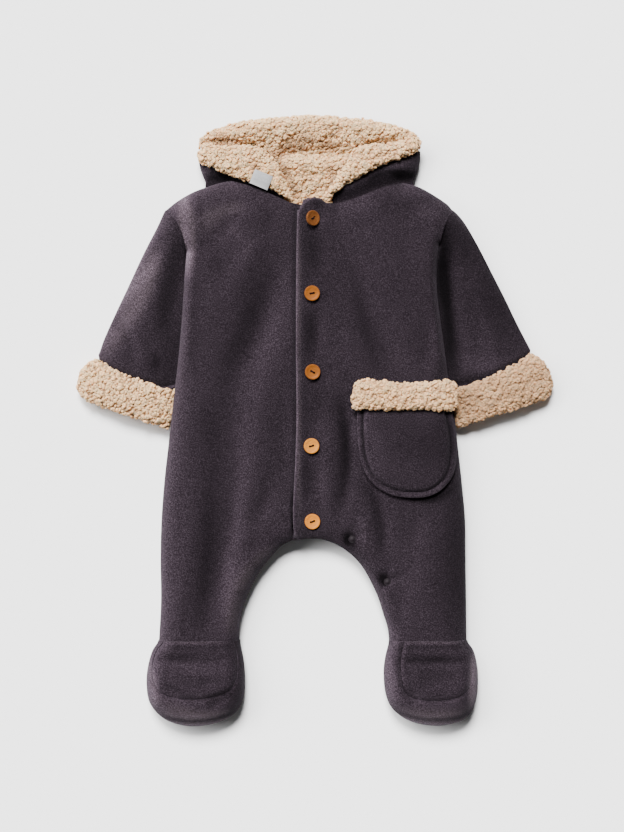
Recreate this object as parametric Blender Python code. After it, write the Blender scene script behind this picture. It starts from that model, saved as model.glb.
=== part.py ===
"""Hooded pramsuit with feet, in fleece backed with curly pile, laid flat on its back.

The tables are in millimetres, and MM turns them into metres. X runs to the wearer's left, Y from
the feet to the hood, and Z up from the surface that the suit lies on. A panel is a plan outline
with a height for every point of it: the upper panels are domed, the lower ones lie flat, and the
two meet at a rounded edge with a seam gap between them. Sleeves and cuffs are flattened tubes
through a row of rings.
"""

import math
from collections import namedtuple

import bpy
import numpy as np
from mathutils import Vector
from mathutils.bvhtree import BVHTree
from mathutils.geometry import delaunay_2d_cdt

MM = 0.001

SEAM_GAP = 0.3
CURVE_SAG = 0.55  # how far a chord may stray from its curve
WALL = 3.6  # fleece with its pile backing, pressed by lying
SLEEVE_WALL = 3.0
PILE = 5.5  # standing depth of the curly pile
LAPEL_PILE = 6.5
POCKET_WALL = 3.0

SEAM_Z = 13.0  # where the upper and lower panels meet
BODY_CROWN = 26.0
BODY_REACH = 32.0  # how far in from its edge a front is still rounding
BACK_REACH = 22.0
NECK_DIP, NECK_DIP_REACH = 4.5, 25.0
UNDERLAP_DROP = WALL + 2.3
UNDERLAP_FROM, UNDERLAP_TO = -42.0, -24.0
UNDERLAP_EDGE_X = 12.0
UNDERLAP_FOOT_Y = -90.0

Point = namedtuple("Point", "x y")
Fold = namedtuple("Fold", "x0 y0 x1 y1 half_width depth")
Ring = namedtuple("Ring", "outer_x outer_y inner_x inner_y floor crown outer_z inner_z bow")
Button = namedtuple("Button", "x y tilt turn")


def rows(kind, *values):
    return [kind(*row) for row in values]


# Wearer's right is -X. Each line runs from the ankle up.
RIGHT_SIDE = rows(Point, (-156, -219), (-154, -178), (-154.5, -138), (-153.5, -98), (-150.5, -58),
                  (-146, -18), (-142, 18), (-137, 60), (-133, 105), (-130.5, 145), (-128.5, 168.5))
LEFT_SIDE = rows(Point, (151.5, -219), (151, -178), (150.5, -138), (150, -98), (146.5, -58),
                 (142, -18), (139, 10), (134, 40), (127, 90), (122.5, 125), (121.8, 150), (124.5, 176))
# From the shoulder tip to the neck point.
RIGHT_SHOULDER = rows(Point, (-149, 211), (-137, 220.5), (-120, 230), (-98, 237.5), (-85, 240.5))
LEFT_SHOULDER = rows(Point, (137, 211.5), (131, 218), (115, 228.5), (102, 235), (88, 238.5))
# From the neck point to the centre.
RIGHT_NECK = rows(Point, (-85, 240.5), (-69, 236), (-54, 231), (-39, 224.5), (-25, 218.5), (-12, 216))
LEFT_NECK = rows(Point, (88, 238.5), (72, 234.5), (53, 227.5), (38, 221.5), (22, 217.5), (12, 217.5))
BACK_NECK = rows(Point, (-60, 241.5), (-20, 243), (20, 243), (60, 241))
# Round the placket's top corner and down its edge.
PLACKET = rows(Point, (12, 217.5), (5, 221), (-2.5, 222), (-10, 219), (-15, 212), (-17.5, 203),
               (-18.5, 170), (-19, 92), (-18.5, 5), (-20, -45), (-22, -90), (-20.5, -112), (-17, -118))
# From the ankle up the inner leg to the top of the crotch.
RIGHT_INNER = rows(Point, (-75.5, -219), (-75, -203), (-71, -184.5), (-65, -168.5), (-56, -151),
                   (-45, -136.5), (-34, -124.5), (-23, -118.3))
LEFT_INNER = rows(Point, (74, -219), (72.5, -206), (68, -191.5), (62.5, -174.5), (55, -158.5),
                  (46, -143.5), (34, -131), (21, -122.5), (8, -117.5), (-5, -116.5), (-17, -118))
ARMHOLE_BOW = {"right": 5.0, "left": 2.0}  # curve of the armhole towards the body

BODY_FOLDS = rows(
    Fold,
    (-55, 120, -105, -10, 24, 2.6),
    (-40, -30, -62, -110, 16, 1.6),
    (-110, 60, -120, -60, 18, -1.4),
    (34, -20, 30, -95, 11, 2.0),
    (62, -78, 40, -118, 12, 1.8),
    (9, 185, 12, 60, 10, 1.8),
    (70, 180, 84, 40, 26, 1.6),
    (-115, -120, -112, -200, 16, 1.4),
    (112, -110, 110, -190, 15, 1.4),
)

# The sleeves' rings, from the armhole to just before the cuff. inner_x is worked out from the side.
RIGHT_SLEEVE = rows(
    Ring,
    (-149.8, 210.7, None, 168.0, 0, 25.5, 13, 13, -5),
    (-158, 194, None, 150, 0, 23, 11, 7, -3),
    (-172, 167, None, 126, 0, 20.5, 10, 4.6, 0),
    (-187, 135, None, 98, 0, 19, 9, 4.6, 0),
    (-200, 107.5, None, 74, 0, 18, 9, 4.6, 1),
    (-211, 83, None, 53, 0, 17.5, 9, 4.6, 3),
    (-217, 66.5, None, 38, 2.5, 17, 10, 6.5, 5),
)
LEFT_SLEEVE = rows(
    Ring,
    (137.8, 211.2, None, 175.7, 0, 25.5, 13, 13, -2),
    (149, 199.5, None, 155, 0, 23, 11, 7, -1),
    (163, 176, None, 133, 0, 20.5, 10, 4.6, 0),
    (178, 147, None, 106, 0, 19, 9, 4.6, 0),
    (190, 123.5, None, 82, 0, 18, 9, 4.6, 1),
    (202, 98.5, None, 62, 0, 17.5, 9, 4.6, 3),
    (215.5, 72.5, None, 40, 2.5, 17, 10, 6.5, 5),
)
# The cuffs' rings, from the raw edge to the fold at the mouth.
RIGHT_CUFF = rows(
    Ring,
    (-221, 63.5, -142.8, 30, 1.0, 24, 12, 12, 5),
    (-234, 52, -144.2, 20, 0, 25.5, 12, 12, 4),
    (-238, 36, -146.4, 6, 0, 25.5, 12, 12, 2),
    (-231.5, 22.5, -149.6, -7, 1.0, 23.5, 12, 12, 0),
)
LEFT_CUFF = rows(
    Ring,
    (219, 68.5, 146.2, 31, 1.0, 24, 12, 12, 4),
    (232, 55.5, 146.4, 20, 0, 25.5, 12, 12, 4),
    (238, 38, 146.8, 7, 0, 25.5, 12, 12, 2),
    (232.5, 24.5, 147.6, -6, 1.0, 23.5, 12, 12, 0),
)
CUFF_WALL = 5.0
CUFF_CLEARANCE = 1.5  # between a cuff and the sleeve end in it

# The hood, clockwise seen from above: rim from the wearer's right, over the top, to the left.
HOOD_RIM = rows(Point, (-116.5, 266), (-115.5, 274), (-110, 284.5), (-94, 291.5), (-71, 298.5),
                (-45, 302), (-18, 304), (5, 305), (28, 302.5), (59, 299.5), (82.5, 292.5), (98, 287),
                (104, 279.5), (105.5, 270))
HOOD_RIGHT_EDGE = rows(Point, (-109.5, 239.5), (-113.5, 249), (-116, 258), (-116.5, 266))
HOOD_LEFT_EDGE = rows(Point, (105.5, 270), (105, 260), (102.5, 250), (98.5, 240))
HOOD_FOOT = rows(Point, (98.5, 240), (88, 240.6), (60, 242), (20, 243.9), (-20, 243.9), (-60, 242.6),
                 (-85, 242.6), (-97, 241.2), (-109.5, 239.5))
HOOD_SEAM_Z = 9.0
HOOD_WALL = 3.2
HOOD_REACH = 18.0
RIM_SETBACK = 4.0  # the fleece stops this far inside the rolled pile at the rim
RIM_CROWN, RIM_ROLL, RIM_FALL = 25.0, 9.0, 27.0
HOOD_FLOOR = 9.2
THINNEST_PILE = 1.6
HOOD_SWELL_Y, HOOD_SWELL, HOOD_SWELL_WIDTH = 257.0, 5.0, 9.0
SIDE_CROWN = 19.0  # top of the hood's side panels under the lapels
SIDE_REACH = 20.0
SIDE_FOOT_REACH = 14.0

RIGHT_LAPEL_TOP = rows(Point, (-116, 268), (-109, 273.5), (-98, 272.5), (-80, 274), (-62, 273.5),
                       (-49, 268), (-38.5, 256.5), (-30.5, 239.5), (-24.5, 222))
RIGHT_LAPEL_FOOT = rows(Point, (-24.5, 222), (-28, 224.5), (-44.5, 233.5), (-64, 239.5), (-76, 243.5),
                        (-87, 247), (-98, 252.5), (-110.5, 257.5), (-115.5, 261.5), (-116, 268))
LEFT_LAPEL_TOP = rows(Point, (6.6, 220.8), (15, 230.5), (22, 241.5), (30.5, 254.5), (37, 266),
                      (44, 272), (56, 275), (75, 275.5), (88, 278.5), (97, 283), (104, 279))
LEFT_LAPEL_FOOT = rows(Point, (104, 279), (103.5, 273), (97, 268), (87, 263.5), (72, 258.5),
                       (59.5, 253.5), (51, 248.5), (40.5, 243), (31, 238), (22.5, 231.5), (14, 224),
                       (6.6, 220.8))
RIGHT_SIDE_FOLD = rows(Point, (-115.5, 263), (-100, 268), (-63, 269.5), (-53, 265), (-43, 254),
                       (-35, 237.5), (-31, 221))
LEFT_SIDE_FOLD = rows(Point, (104.8, 270), (96, 276), (76, 271.5), (57, 271), (47, 268), (41, 263),
                      (34.5, 252.5), (26, 239.5), (16, 224.5))
HOOD_FLOOR_FOOT = rows(Point, (101, 277), (92, 270), (62, 264), (49, 256), (38, 246.5), (0, 246.5),
                       (-42, 246.5), (-50, 252), (-60, 260), (-96, 265), (-112, 274))
NECK_PILE = rows(Point, (-50, 200), (48, 200), (42, 244.5), (0, 245), (-46, 244.5), (-50, 200))
LAPEL_EDGE_LIFT = 2.5
NECK_PILE_LIFT, NECK_PILE_DEPTH = 0.8, 4.0

# The feet, from the ankle's outer corner round the toe to its inner corner.
RIGHT_FOOT = rows(Point, (-156.5, -219.8), (-163, -230), (-167.5, -247), (-168.5, -263), (-166, -279),
                  (-158, -291), (-145, -300), (-126, -304.5), (-108, -303.5), (-90, -298), (-78, -289.5),
                  (-71.5, -277), (-70, -260), (-71, -240), (-75, -219.8))
LEFT_FOOT = rows(Point, (152, -219.8), (158.5, -229), (162, -243), (163, -259), (161.5, -276),
                 (156, -291), (145, -299.5), (126, -304), (106, -302.5), (90, -297), (77, -286.5),
                 (70.5, -272), (68.5, -252), (70, -236), (74, -219.8))
RIGHT_TOP_SEAM = rows(Point, (-151, -219.8), (-158, -228), (-162.5, -243), (-160.5, -259), (-153, -268.5),
                      (-138, -274), (-120, -275.5), (-102, -273.5), (-87, -268.5), (-79, -259),
                      (-76.5, -246), (-77.5, -231), (-81, -219.8))
LEFT_TOP_SEAM = rows(Point, (146.5, -219.8), (153.5, -228), (157.5, -243), (156, -259), (149, -270),
                     (136, -275), (118, -277), (101, -275), (90, -269), (86, -258), (84.5, -243),
                     (85.5, -231), (88, -219.8))
FOOT_CROWN, FOOT_REACH, SOLE_REACH = 40.0, 30.0, 16.0
FOOT_RISE = 34.0  # length over which the foot swells from the ankle's height to its own
FOOT_SEAM_GAP = 0.8
TOP_SEAM_DIP, TOP_SEAM_WIDTH = 1.4, 5.0
INSTEP_CREASE_Y, INSTEP_CREASE, INSTEP_CREASE_WIDTH = -237.0, 2.2, 6.0

# The patch pocket on the left front, and its turned-over top.
POCKET = rows(Point, (42, 36), (42, 11), (42.5, -15), (46, -40), (56, -60), (74, -72), (93, -75.5),
              (111, -74.5), (125.5, -67.5), (136, -53), (139.3, -34), (138.6, -12), (134, 12), (131, 36),
              (42, 36))
POCKET_BAND = rows(Point, (36.5, 18), (37.5, 32), (43, 40.5), (54, 41), (78, 38.5), (102, 38),
                   (120, 38.8), (132, 40.5), (139, 36), (140.5, 26), (139, 14), (132, 11.5), (104, 13),
                   (74, 12), (48, 12.5), (39, 12.5), (36.5, 18))
POCKET_SWELL = 1.6
BAND_PILE = 7.0
BAND_LOWEST = 21.0  # the band bridges the fall of the front's side

BUTTON_RADIUS, BUTTON_THICK, BUTTON_RIM = 7.8, 3.2, 0.9
BUTTON_HOLE_RADIUS, BUTTON_HOLE_APART = 1.1, 3.4
BUTTONS = rows(Button, (-2.6, 201.8, 14, 35), (-3, 127.3, 4, 10), (-2.5, 49.2, 6, -30),
               (-3.5, -24.3, 2, 15), (-2.6, -99.4, 2, 20))
STUD_RADIUS, STUD_HEIGHT = 3.6, 1.8
STUDS = rows(Point, (37, -117), (72, -159.5))

LABEL_CENTRE, LABEL_TURN = Point(-53.5, 241.5), math.radians(-18)
LABEL_WIDTH, LABEL_LENGTH, LABEL_THICK = 18.0, 15.0, 0.8
LABEL_ACROSS, LABEL_ALONG = 5, 9  # points of its mesh
LABEL_LIFT = 1.0

COLOURS = {  # Principled BSDF: base colour, roughness
    "fleece": ((0.055, 0.044, 0.055), 0.95),
    "pile": ((0.68, 0.52, 0.37), 0.95),
    "wood": ((0.56, 0.30, 0.10), 0.5),
    "stud": ((0.05, 0.04, 0.05), 0.6),
    "satin": ((0.48, 0.48, 0.48), 0.4),
}


# ---- plan geometry, all in millimetres ----

def xy(table):
    return np.array([(row.x, row.y) for row in table], float)


def smooth(points):
    """A Catmull-Rom curve through the points, finely stepped."""
    padded = np.vstack([2 * points[0] - points[1], points, 2 * points[-1] - points[-2]])
    fine = []
    for p0, p1, p2, p3 in zip(padded, padded[1:], padded[2:], padded[3:]):
        for t in np.linspace(0, 1, 12, endpoint=False):
            fine.append(0.5 * (2 * p1 + (p2 - p0) * t + (2 * p0 - 5 * p1 + 4 * p2 - p3) * t * t
                               + (3 * p1 - p0 - 3 * p2 + p3) * t ** 3))
    return np.vstack([fine, points[-1]])


def spaced(points, step):
    """Points about step apart along the line, ends kept."""
    points = np.asarray(points, float)
    run = np.concatenate([[0], np.cumsum(np.linalg.norm(np.diff(points, axis=0), axis=1))])
    stops = np.linspace(0, run[-1], max(2, int(round(run[-1] / step)) + 1))
    return np.column_stack([np.interp(stops, run, points[:, k]) for k in (0, 1)])


def curve(table, longest=26.0, sag=CURVE_SAG):
    """The smooth curve through the table's points in chords that sag less than sag."""
    fine = smooth(xy(table))
    kept, start = [0], 0
    for end in range(1, len(fine)):
        chord = fine[end] - fine[start]
        length = np.linalg.norm(chord)
        between = fine[start:end + 1] - fine[start]
        off = np.abs(between[:, 0] * chord[1] - between[:, 1] * chord[0]) / max(length, 1e-9)
        if length > longest or off.max() > sag:
            start = end - 1
            kept.append(start)
    return fine[sorted({*kept, len(fine) - 1})]


def armhole(side, step=9.0):
    """The seam from the armpit up to the shoulder tip, bowed towards the body."""
    sign = 1 if side == "left" else -1
    pit = xy(LEFT_SIDE if side == "left" else RIGHT_SIDE)[-1]
    tip = xy(LEFT_SHOULDER if side == "left" else RIGHT_SHOULDER)[0]
    t = np.linspace(0, 1, max(3, int(np.linalg.norm(tip - pit) / step) + 1))[:, None]
    along = (tip - pit) / np.linalg.norm(tip - pit)
    inward = np.array([-along[1], along[0]]) * sign
    return pit + (tip - pit) * t + inward * ARMHOLE_BOW[side] * 4 * t * (1 - t)


def distance_to(line, at):
    """Plan distance from every point of at to the polyline."""
    best = np.full(len(at), np.inf)
    for a, b in zip(line, line[1:]):
        along = b - a
        t = np.clip((at - a) @ along / max(along @ along, 1e-9), 0, 1)
        best = np.minimum(best, np.linalg.norm(at - (a + t[:, None] * along), axis=1))
    return best


def distance_to_any(lines, at):
    return np.min([distance_to(line, at) for line in lines], axis=0)


def inside(loop, at):
    """Which points of at lie in the closed loop."""
    found = np.zeros(len(at), bool)
    for (ax, ay), (bx, by) in zip(loop, np.roll(loop, -1, axis=0)):
        if ay != by:
            crosses = (ay > at[:, 1]) != (by > at[:, 1])
            found ^= crosses & (at[:, 0] < (bx - ax) * (at[:, 1] - ay) / (by - ay) + ax)
    return found


def dome(distance, reach):
    """0 at an edge and 1 from reach inward, as a quarter of an ellipse."""
    left = 1 - np.clip(distance / reach, 0, 1)
    return np.sqrt(np.maximum(0, 1 - left ** 2))


def ease(value):
    value = np.clip(value, 0, 1)
    return value * value * (3 - 2 * value)


def folds(table, at):
    """Depth of the soft troughs, and of the ridges where depth is negative."""
    total = np.zeros(len(at))
    for fold in table:
        line = np.array([(fold.x0, fold.y0), (fold.x1, fold.y1)], float)
        total += fold.depth * np.exp(-(distance_to(line, at) / fold.half_width) ** 2)
    return total


# ---- solids ----

Edge = namedtuple("Edge", "line closing")


def closing(line):
    """An edge where the panel turns down, or up, to a seam."""
    return Edge(line, True)


def free(line):
    return Edge(line, False)


def loop_of(edges):
    """The edges' points as one counter-clockwise loop, which of them close, and their outward normals."""
    points = np.vstack([edge.line[:-1] for edge in edges])
    closes = np.concatenate([np.full(len(edge.line) - 1, edge.closing) for edge in edges])
    starts = np.cumsum([0] + [len(edge.line) - 1 for edge in edges[:-1]])
    for start, edge, before in zip(starts, edges, [edges[-1]] + edges[:-1]):
        closes[start] = edge.closing or before.closing
    area = np.sum(points[:, 0] * np.roll(points[:, 1], -1) - np.roll(points[:, 0], -1) * points[:, 1])
    if area < 0:
        points, closes = points[::-1], closes[::-1]
    ahead = np.roll(points, -1, axis=0) - points
    ahead /= np.linalg.norm(ahead, axis=1)[:, None]
    mean = ahead + np.roll(ahead, 1, axis=0)
    mean /= np.linalg.norm(mean, axis=1)[:, None]
    return points, closes, np.column_stack([mean[:, 1], -mean[:, 0]])


def inner_points(loop, normals, spacing, insets):
    """A row of points at each inset from the edge, then a hexagonal field of them."""
    ring = np.vstack([loop, loop[:1]])
    kept = []
    for inset in insets:
        row = loop - normals * inset
        row = row[inside(loop, row) & (distance_to(ring, row) > 0.93 * inset)]
        for point in row:
            if all(np.linalg.norm(point - other) > 0.6 * min(inset, spacing) for other in kept):
                kept.append(point)
    low, high = loop.min(axis=0), loop.max(axis=0)
    field = []
    for i, y in enumerate(np.arange(low[1] + 0.5 * spacing, high[1], spacing * 0.866)):
        for x in np.arange(low[0] + spacing * (0.5 if i % 2 else 1.0), high[0], spacing):
            field.append((x, y))
    if not field:
        return np.array(kept).reshape(-1, 2)
    field = np.array(field)
    clear = (insets[-1] if insets else 0) + 0.55 * spacing
    field = field[inside(loop, field)]
    field = field[distance_to(ring, field) > clear]
    return np.vstack([np.array(kept).reshape(-1, 2), field])


def triangles_in(loop, more, holes=()):
    """Counter-clockwise triangles filling the loop, less the holes, over all the points."""
    points = np.vstack([loop, *holes, more])
    bounds, start = [], 0
    for ring in (loop, *holes):
        bounds += [(start + i, start + (i + 1) % len(ring)) for i in range(len(ring))]
        start += len(ring)
    made = delaunay_2d_cdt([tuple(p) for p in points], bounds, [], 0, 1e-6)
    points = np.array([(p.x, p.y) for p in made[0]])
    faces = np.array(made[2])
    centres = points[faces].mean(axis=1)
    wanted = inside(loop, centres)
    for hole in holes:
        wanted &= ~inside(hole, centres)
    faces = faces[wanted]
    a, b, c = points[faces[:, 0]], points[faces[:, 1]], points[faces[:, 2]]
    turn = (b[:, 0] - a[:, 0]) * (c[:, 1] - a[:, 1]) - (b[:, 1] - a[:, 1]) * (c[:, 0] - a[:, 0])
    faces[turn < 0] = faces[turn < 0][:, ::-1]
    return points, faces


def add_solid(name, upper, lower, faces, slot):
    """Closed body between two point sets that share their plan triangles."""
    count = len(upper)
    sides = {}
    for face in faces:
        for a, b in zip(face, np.roll(face, -1)):
            sides[(int(a), int(b))] = True
    walls = [(b, a, a + count, b + count) for a, b in sides if (b, a) not in sides]
    polygons = [tuple(int(i) for i in face) for face in faces]
    polygons += [tuple(int(i) + count for i in face[::-1]) for face in faces]
    return add_mesh(name, np.vstack([upper, lower]), polygons + walls, slot)


def add_mesh(name, points, polygons, slot):
    mesh = bpy.data.meshes.new(name)
    mesh.from_pydata([tuple(p * MM) for p in points], [], polygons)
    mesh.validate()
    mesh.shade_smooth()
    mesh.set_sharp_from_angle(angle=math.radians(50))
    mesh.materials.append(MATERIALS[slot])
    obj = bpy.data.objects.new(name, mesh)
    bpy.context.scene.collection.objects.link(obj)
    return obj


def slopes(height, at):
    step = 0.4
    return [(height(at + offset) - height(at - offset)) / (2 * step)
            for offset in (np.array([step, 0]), np.array([0, step]))]


def add_panel(name, edges, height, wall, slot, faces_up=True, spacing=24.0, insets=(3.5, 12.0)):
    """Cloth of one thickness whose outer face is height over the plan outline."""
    loop, closes, outward = loop_of(edges)
    points, faces = triangles_in(loop, inner_points(loop, outward, spacing, insets))
    z = height(points)
    slope_x, slope_y = slopes(height, points)
    normal = np.column_stack([-slope_x, -slope_y, np.ones(len(points))])
    if not faces_up:
        normal = -normal
    normal /= np.linalg.norm(normal, axis=1)[:, None]
    for i in np.flatnonzero(closes):
        normal[i] = (*outward[i], 0)
    outer = np.column_stack([points, z])
    inner = outer - wall * normal
    upper, lower = (outer, inner) if faces_up else (inner, outer)
    return add_solid(name, upper, lower, faces, slot)


def add_pad(name, edges, bottom, top, slot, spacing=9.0, insets=(2.0, 5.0)):
    """A pad between two height functions."""
    loop, _, outward = loop_of(edges)
    points, faces = triangles_in(loop, inner_points(loop, outward, spacing, insets))
    return add_solid(name, np.column_stack([points, top(points)]),
                     np.column_stack([points, bottom(points)]), faces, slot)


# ---- body ----

def side_x(side, y):
    table = xy(LEFT_SIDE if side == "left" else RIGHT_SIDE)
    return np.interp(y, table[:, 1], table[:, 0])


def body_closing_lines():
    closed = (RIGHT_SIDE, LEFT_SIDE, RIGHT_SHOULDER, LEFT_SHOULDER, RIGHT_INNER, LEFT_INNER)
    crotch = np.array([xy(RIGHT_INNER)[-1], xy(PLACKET)[-1]])
    return [curve(table, 6) for table in closed] + [crotch]


BODY_CLOSING = body_closing_lines()
NECK_LINES = [curve(RIGHT_NECK, 6), curve(LEFT_NECK, 6)]


def body_top(at, lower=0.0):
    """Outer face of the fronts, with its crown lowered by lower."""
    rounding = dome(distance_to_any(BODY_CLOSING, at), BODY_REACH)
    dip = NECK_DIP * np.clip(1 - distance_to_any(NECK_LINES, at) / NECK_DIP_REACH, 0, 1) ** 2
    crown = BODY_CROWN - folds(BODY_FOLDS, at) - dip - lower
    return SEAM_Z + (crown - SEAM_Z) * rounding


def under_front_top(at):
    lapped = ease((at[:, 0] - UNDERLAP_FROM) / (UNDERLAP_TO - UNDERLAP_FROM))
    return body_top(at, UNDERLAP_DROP * lapped)


def back_bottom(at):
    rounding = dome(distance_to_any(BODY_CLOSING, at), BACK_REACH)
    return (SEAM_Z - SEAM_GAP) * (1 - rounding)


def add_body():
    right_side, left_side = curve(RIGHT_SIDE), curve(LEFT_SIDE)
    right_arm, left_arm = armhole("right"), armhole("left")
    right_shoulder, left_shoulder = curve(RIGHT_SHOULDER), curve(LEFT_SHOULDER)
    right_inner, left_inner = curve(RIGHT_INNER), curve(LEFT_INNER)
    add_panel("front_left", [
        closing(left_side), free(left_arm), closing(left_shoulder), free(curve(LEFT_NECK)),
        free(curve(PLACKET)), closing(left_inner[::-1]),
        free(spaced([left_inner[0], left_side[0]], 14)),
    ], body_top, WALL, "fleece")
    neck_end = xy(RIGHT_NECK)[-1]
    inner_end = right_inner[-1]
    underlap = np.array([
        neck_end, (UNDERLAP_EDGE_X, neck_end[1] - 9), (UNDERLAP_EDGE_X, UNDERLAP_FOOT_Y),
        (inner_end[0], UNDERLAP_FOOT_Y), inner_end])
    add_panel("front_right", [
        closing(right_side), free(right_arm), closing(right_shoulder), free(curve(RIGHT_NECK)),
        *[free(spaced(pair, 24)) for pair in zip(underlap, underlap[1:])],
        closing(right_inner[::-1]), free(spaced([right_inner[0], right_side[0]], 14)),
    ], under_front_top, WALL, "fleece")
    back_neck = np.array([right_shoulder[-1], *xy(BACK_NECK), left_shoulder[-1]])
    crotch = np.array([inner_end, xy(PLACKET)[-1]])
    add_panel("back", [
        closing(left_side), free(left_arm), closing(left_shoulder), free(back_neck[::-1]),
        closing(right_shoulder[::-1]), free(right_arm[::-1]), closing(right_side[::-1]),
        free(spaced([right_side[0], right_inner[0]], 16)), closing(right_inner),
        closing(crotch), closing(left_inner[::-1]),
        free(spaced([left_inner[0], left_side[0]], 16)),
    ], back_bottom, WALL, "fleece", faces_up=False, spacing=42.0, insets=(5.0,))


# ---- sleeves and cuffs ----

RING_POINTS = 16
FLATNESS = {"top": 0.85, "floor": 0.45}  # powers of the sine: lower is flatter


def with_inner(side, table):
    """The sleeve's rings with their inner ends tucked just under the body's side."""
    sign = 1 if side == "left" else -1
    made = []
    for i, ring in enumerate(table):
        tuck = (-0.7, -0.5, 1.8)[min(i, 2)]
        made.append(ring._replace(inner_x=side_x(side, ring.inner_y) - sign * tuck))
    return made


def ring_section(ring):
    """The ring in its own plane: distance from the outer end, and height."""
    width = math.hypot(ring.inner_x - ring.outer_x, ring.inner_y - ring.outer_y)
    section = []
    for k in range(RING_POINTS):
        angle = 2 * math.pi * k / RING_POINTS
        across = (1 - math.cos(angle)) / 2
        edge_z = ring.outer_z + (ring.inner_z - ring.outer_z) * across
        rise = abs(math.sin(angle))
        if math.sin(angle) >= 0:
            z = edge_z + (ring.crown - edge_z) * rise ** FLATNESS["top"]
        else:
            z = edge_z - (edge_z - ring.floor) * rise ** FLATNESS["floor"]
        section.append((across * width, z))
    return np.array(section), width


def placed(ring, section, width):
    """The section's points in space, with the ring's bow along the sleeve."""
    outer = np.array([ring.outer_x, ring.outer_y])
    along = np.array([ring.inner_x, ring.inner_y]) - outer
    along /= width
    down = np.array([along[1], -along[0]]) * (1 if along[0] > 0 else -1)
    t = section[:, 0] / width
    bow = ring.bow * 4 * t * (1 - t)
    plan = outer + section[:, :1] * along + bow[:, None] * down
    return np.column_stack([plan, section[:, 1]])


def shrunk(section, by):
    """The closed section moved inward by a distance."""
    ahead = np.roll(section, -1, axis=0) - np.roll(section, 1, axis=0)
    ahead /= np.linalg.norm(ahead, axis=1)[:, None]
    return section + by * np.column_stack([ahead[:, 1], -ahead[:, 0]])


def add_tube(name, sections, wall, slot, rounded=0.0):
    """An open tube through (ring, inset) pairs. rounded pulls in the outer faces of its two ends."""
    outer, inner = [], []
    for i, (ring, inset) in enumerate(sections):
        section, width = ring_section(ring)
        pulled = rounded if i in (0, len(sections) - 1) else 0
        outer.append(placed(ring, shrunk(section, inset + pulled), width))
        inner.append(placed(ring, shrunk(section, inset + wall - pulled * 0.5), width))
    loops = outer + inner[::-1]
    points = np.vstack(loops)
    polygons = []
    for i in range(len(loops)):
        here, there = i * RING_POINTS, (i + 1) % len(loops) * RING_POINTS
        for k in range(RING_POINTS):
            after = (k + 1) % RING_POINTS
            polygons.append((here + k, here + after, there + after, there + k))
    obj = add_mesh(name, points, polygons, slot)
    face_outward(obj)
    return obj


def face_outward(obj):
    """Turns the faces round if the body's volume comes out negative."""
    mesh = obj.data
    mesh.calc_loop_triangles()
    volume = sum(mesh.vertices[t.vertices[0]].co.dot(
        mesh.vertices[t.vertices[1]].co.cross(mesh.vertices[t.vertices[2]].co))
        for t in mesh.loop_triangles)
    if volume < 0:
        mesh.flip_normals()


def add_arms():
    inset = CUFF_WALL + CUFF_CLEARANCE
    for side, sleeve, cuff in (("right", RIGHT_SLEEVE, RIGHT_CUFF), ("left", LEFT_SLEEVE, LEFT_CUFF)):
        sections = [(ring, 0.0) for ring in with_inner(side, sleeve)]
        sections += [(cuff[0], inset), (cuff[1], inset), (cuff[2], inset)]
        add_tube(f"sleeve_{side}", sections, SLEEVE_WALL, "fleece")
        add_tube(f"cuff_{side}", [(ring, 0.0) for ring in cuff], CUFF_WALL, "pile", rounded=1.6)


# ---- hood ----

# Outside the shoulder up to the neck point, then tucked under the front's neck edge.
SIDE_PANEL_FEET = {
    "right": rows(Point, (-30, 216.8), (-42, 222.2), (-56, 228), (-64, 232.5), (-72, 238.5),
                  (-78, 241.8), (-84.5, 244), (-97, 240.6), (-109, 238.6)),
    "left": rows(Point, (19, 214.6), (38, 218), (52, 223.2), (62, 229), (72, 237), (79, 240.6),
                 (87.5, 242.4), (93, 240.8), (98, 239)),
}
RIM_LINE = curve(HOOD_RIM, 6)
HOOD_SIDE_LINES = {"right": curve(HOOD_RIGHT_EDGE, 5), "left": curve(HOOD_LEFT_EDGE, 5)}
LAPEL_TOPS = {"right": curve(RIGHT_LAPEL_TOP, 5), "left": curve(LEFT_LAPEL_TOP, 5)}
LAPEL_FEET = {"right": curve(RIGHT_LAPEL_FOOT, 5), "left": curve(LEFT_LAPEL_FOOT, 5)}


def hood_outline_lines():
    return [RIM_LINE, HOOD_SIDE_LINES["right"], HOOD_SIDE_LINES["left"]]


def hood_back_bottom(at):
    edge = distance_to_any(hood_outline_lines(), at)
    near_rim = distance_to(RIM_LINE, at) < np.minimum(
        distance_to(HOOD_SIDE_LINES["right"], at), distance_to(HOOD_SIDE_LINES["left"], at))
    edge = np.where(near_rim, np.maximum(edge - RIM_SETBACK, 0), edge)
    return (HOOD_SEAM_Z - SEAM_GAP) * (1 - dome(edge, HOOD_REACH))


def side_top(side, at):
    """Upper face of a hood side panel: up from the seam, down again to the neck."""
    outline = distance_to_any([HOOD_SIDE_LINES[side]], at)
    crown = HOOD_SEAM_Z + (SIDE_CROWN - HOOD_SEAM_Z) * dome(outline, SIDE_REACH)
    neck = NECK_LINES[0 if side == "right" else 1]
    peak_x = abs(neck[0][0])
    neck_z = np.interp(np.abs(at[:, 0]), (25, peak_x), (14.0, HOOD_SEAM_Z + 2.5))
    rise = ease(distance_to_any([neck], at) / SIDE_FOOT_REACH)
    return np.minimum(crown, neck_z + (crown - neck_z) * rise)


def lapel_bottom(side, at):
    """The lapel lies on the side panel and bridges its fall to the neck."""
    rounding = dome(distance_to(HOOD_SIDE_LINES[side], at), SIDE_REACH)
    crown = HOOD_SEAM_Z + (SIDE_CROWN - HOOD_SEAM_Z) * rounding
    return crown + SEAM_GAP + LAPEL_EDGE_LIFT * (1 - rounding)


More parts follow.
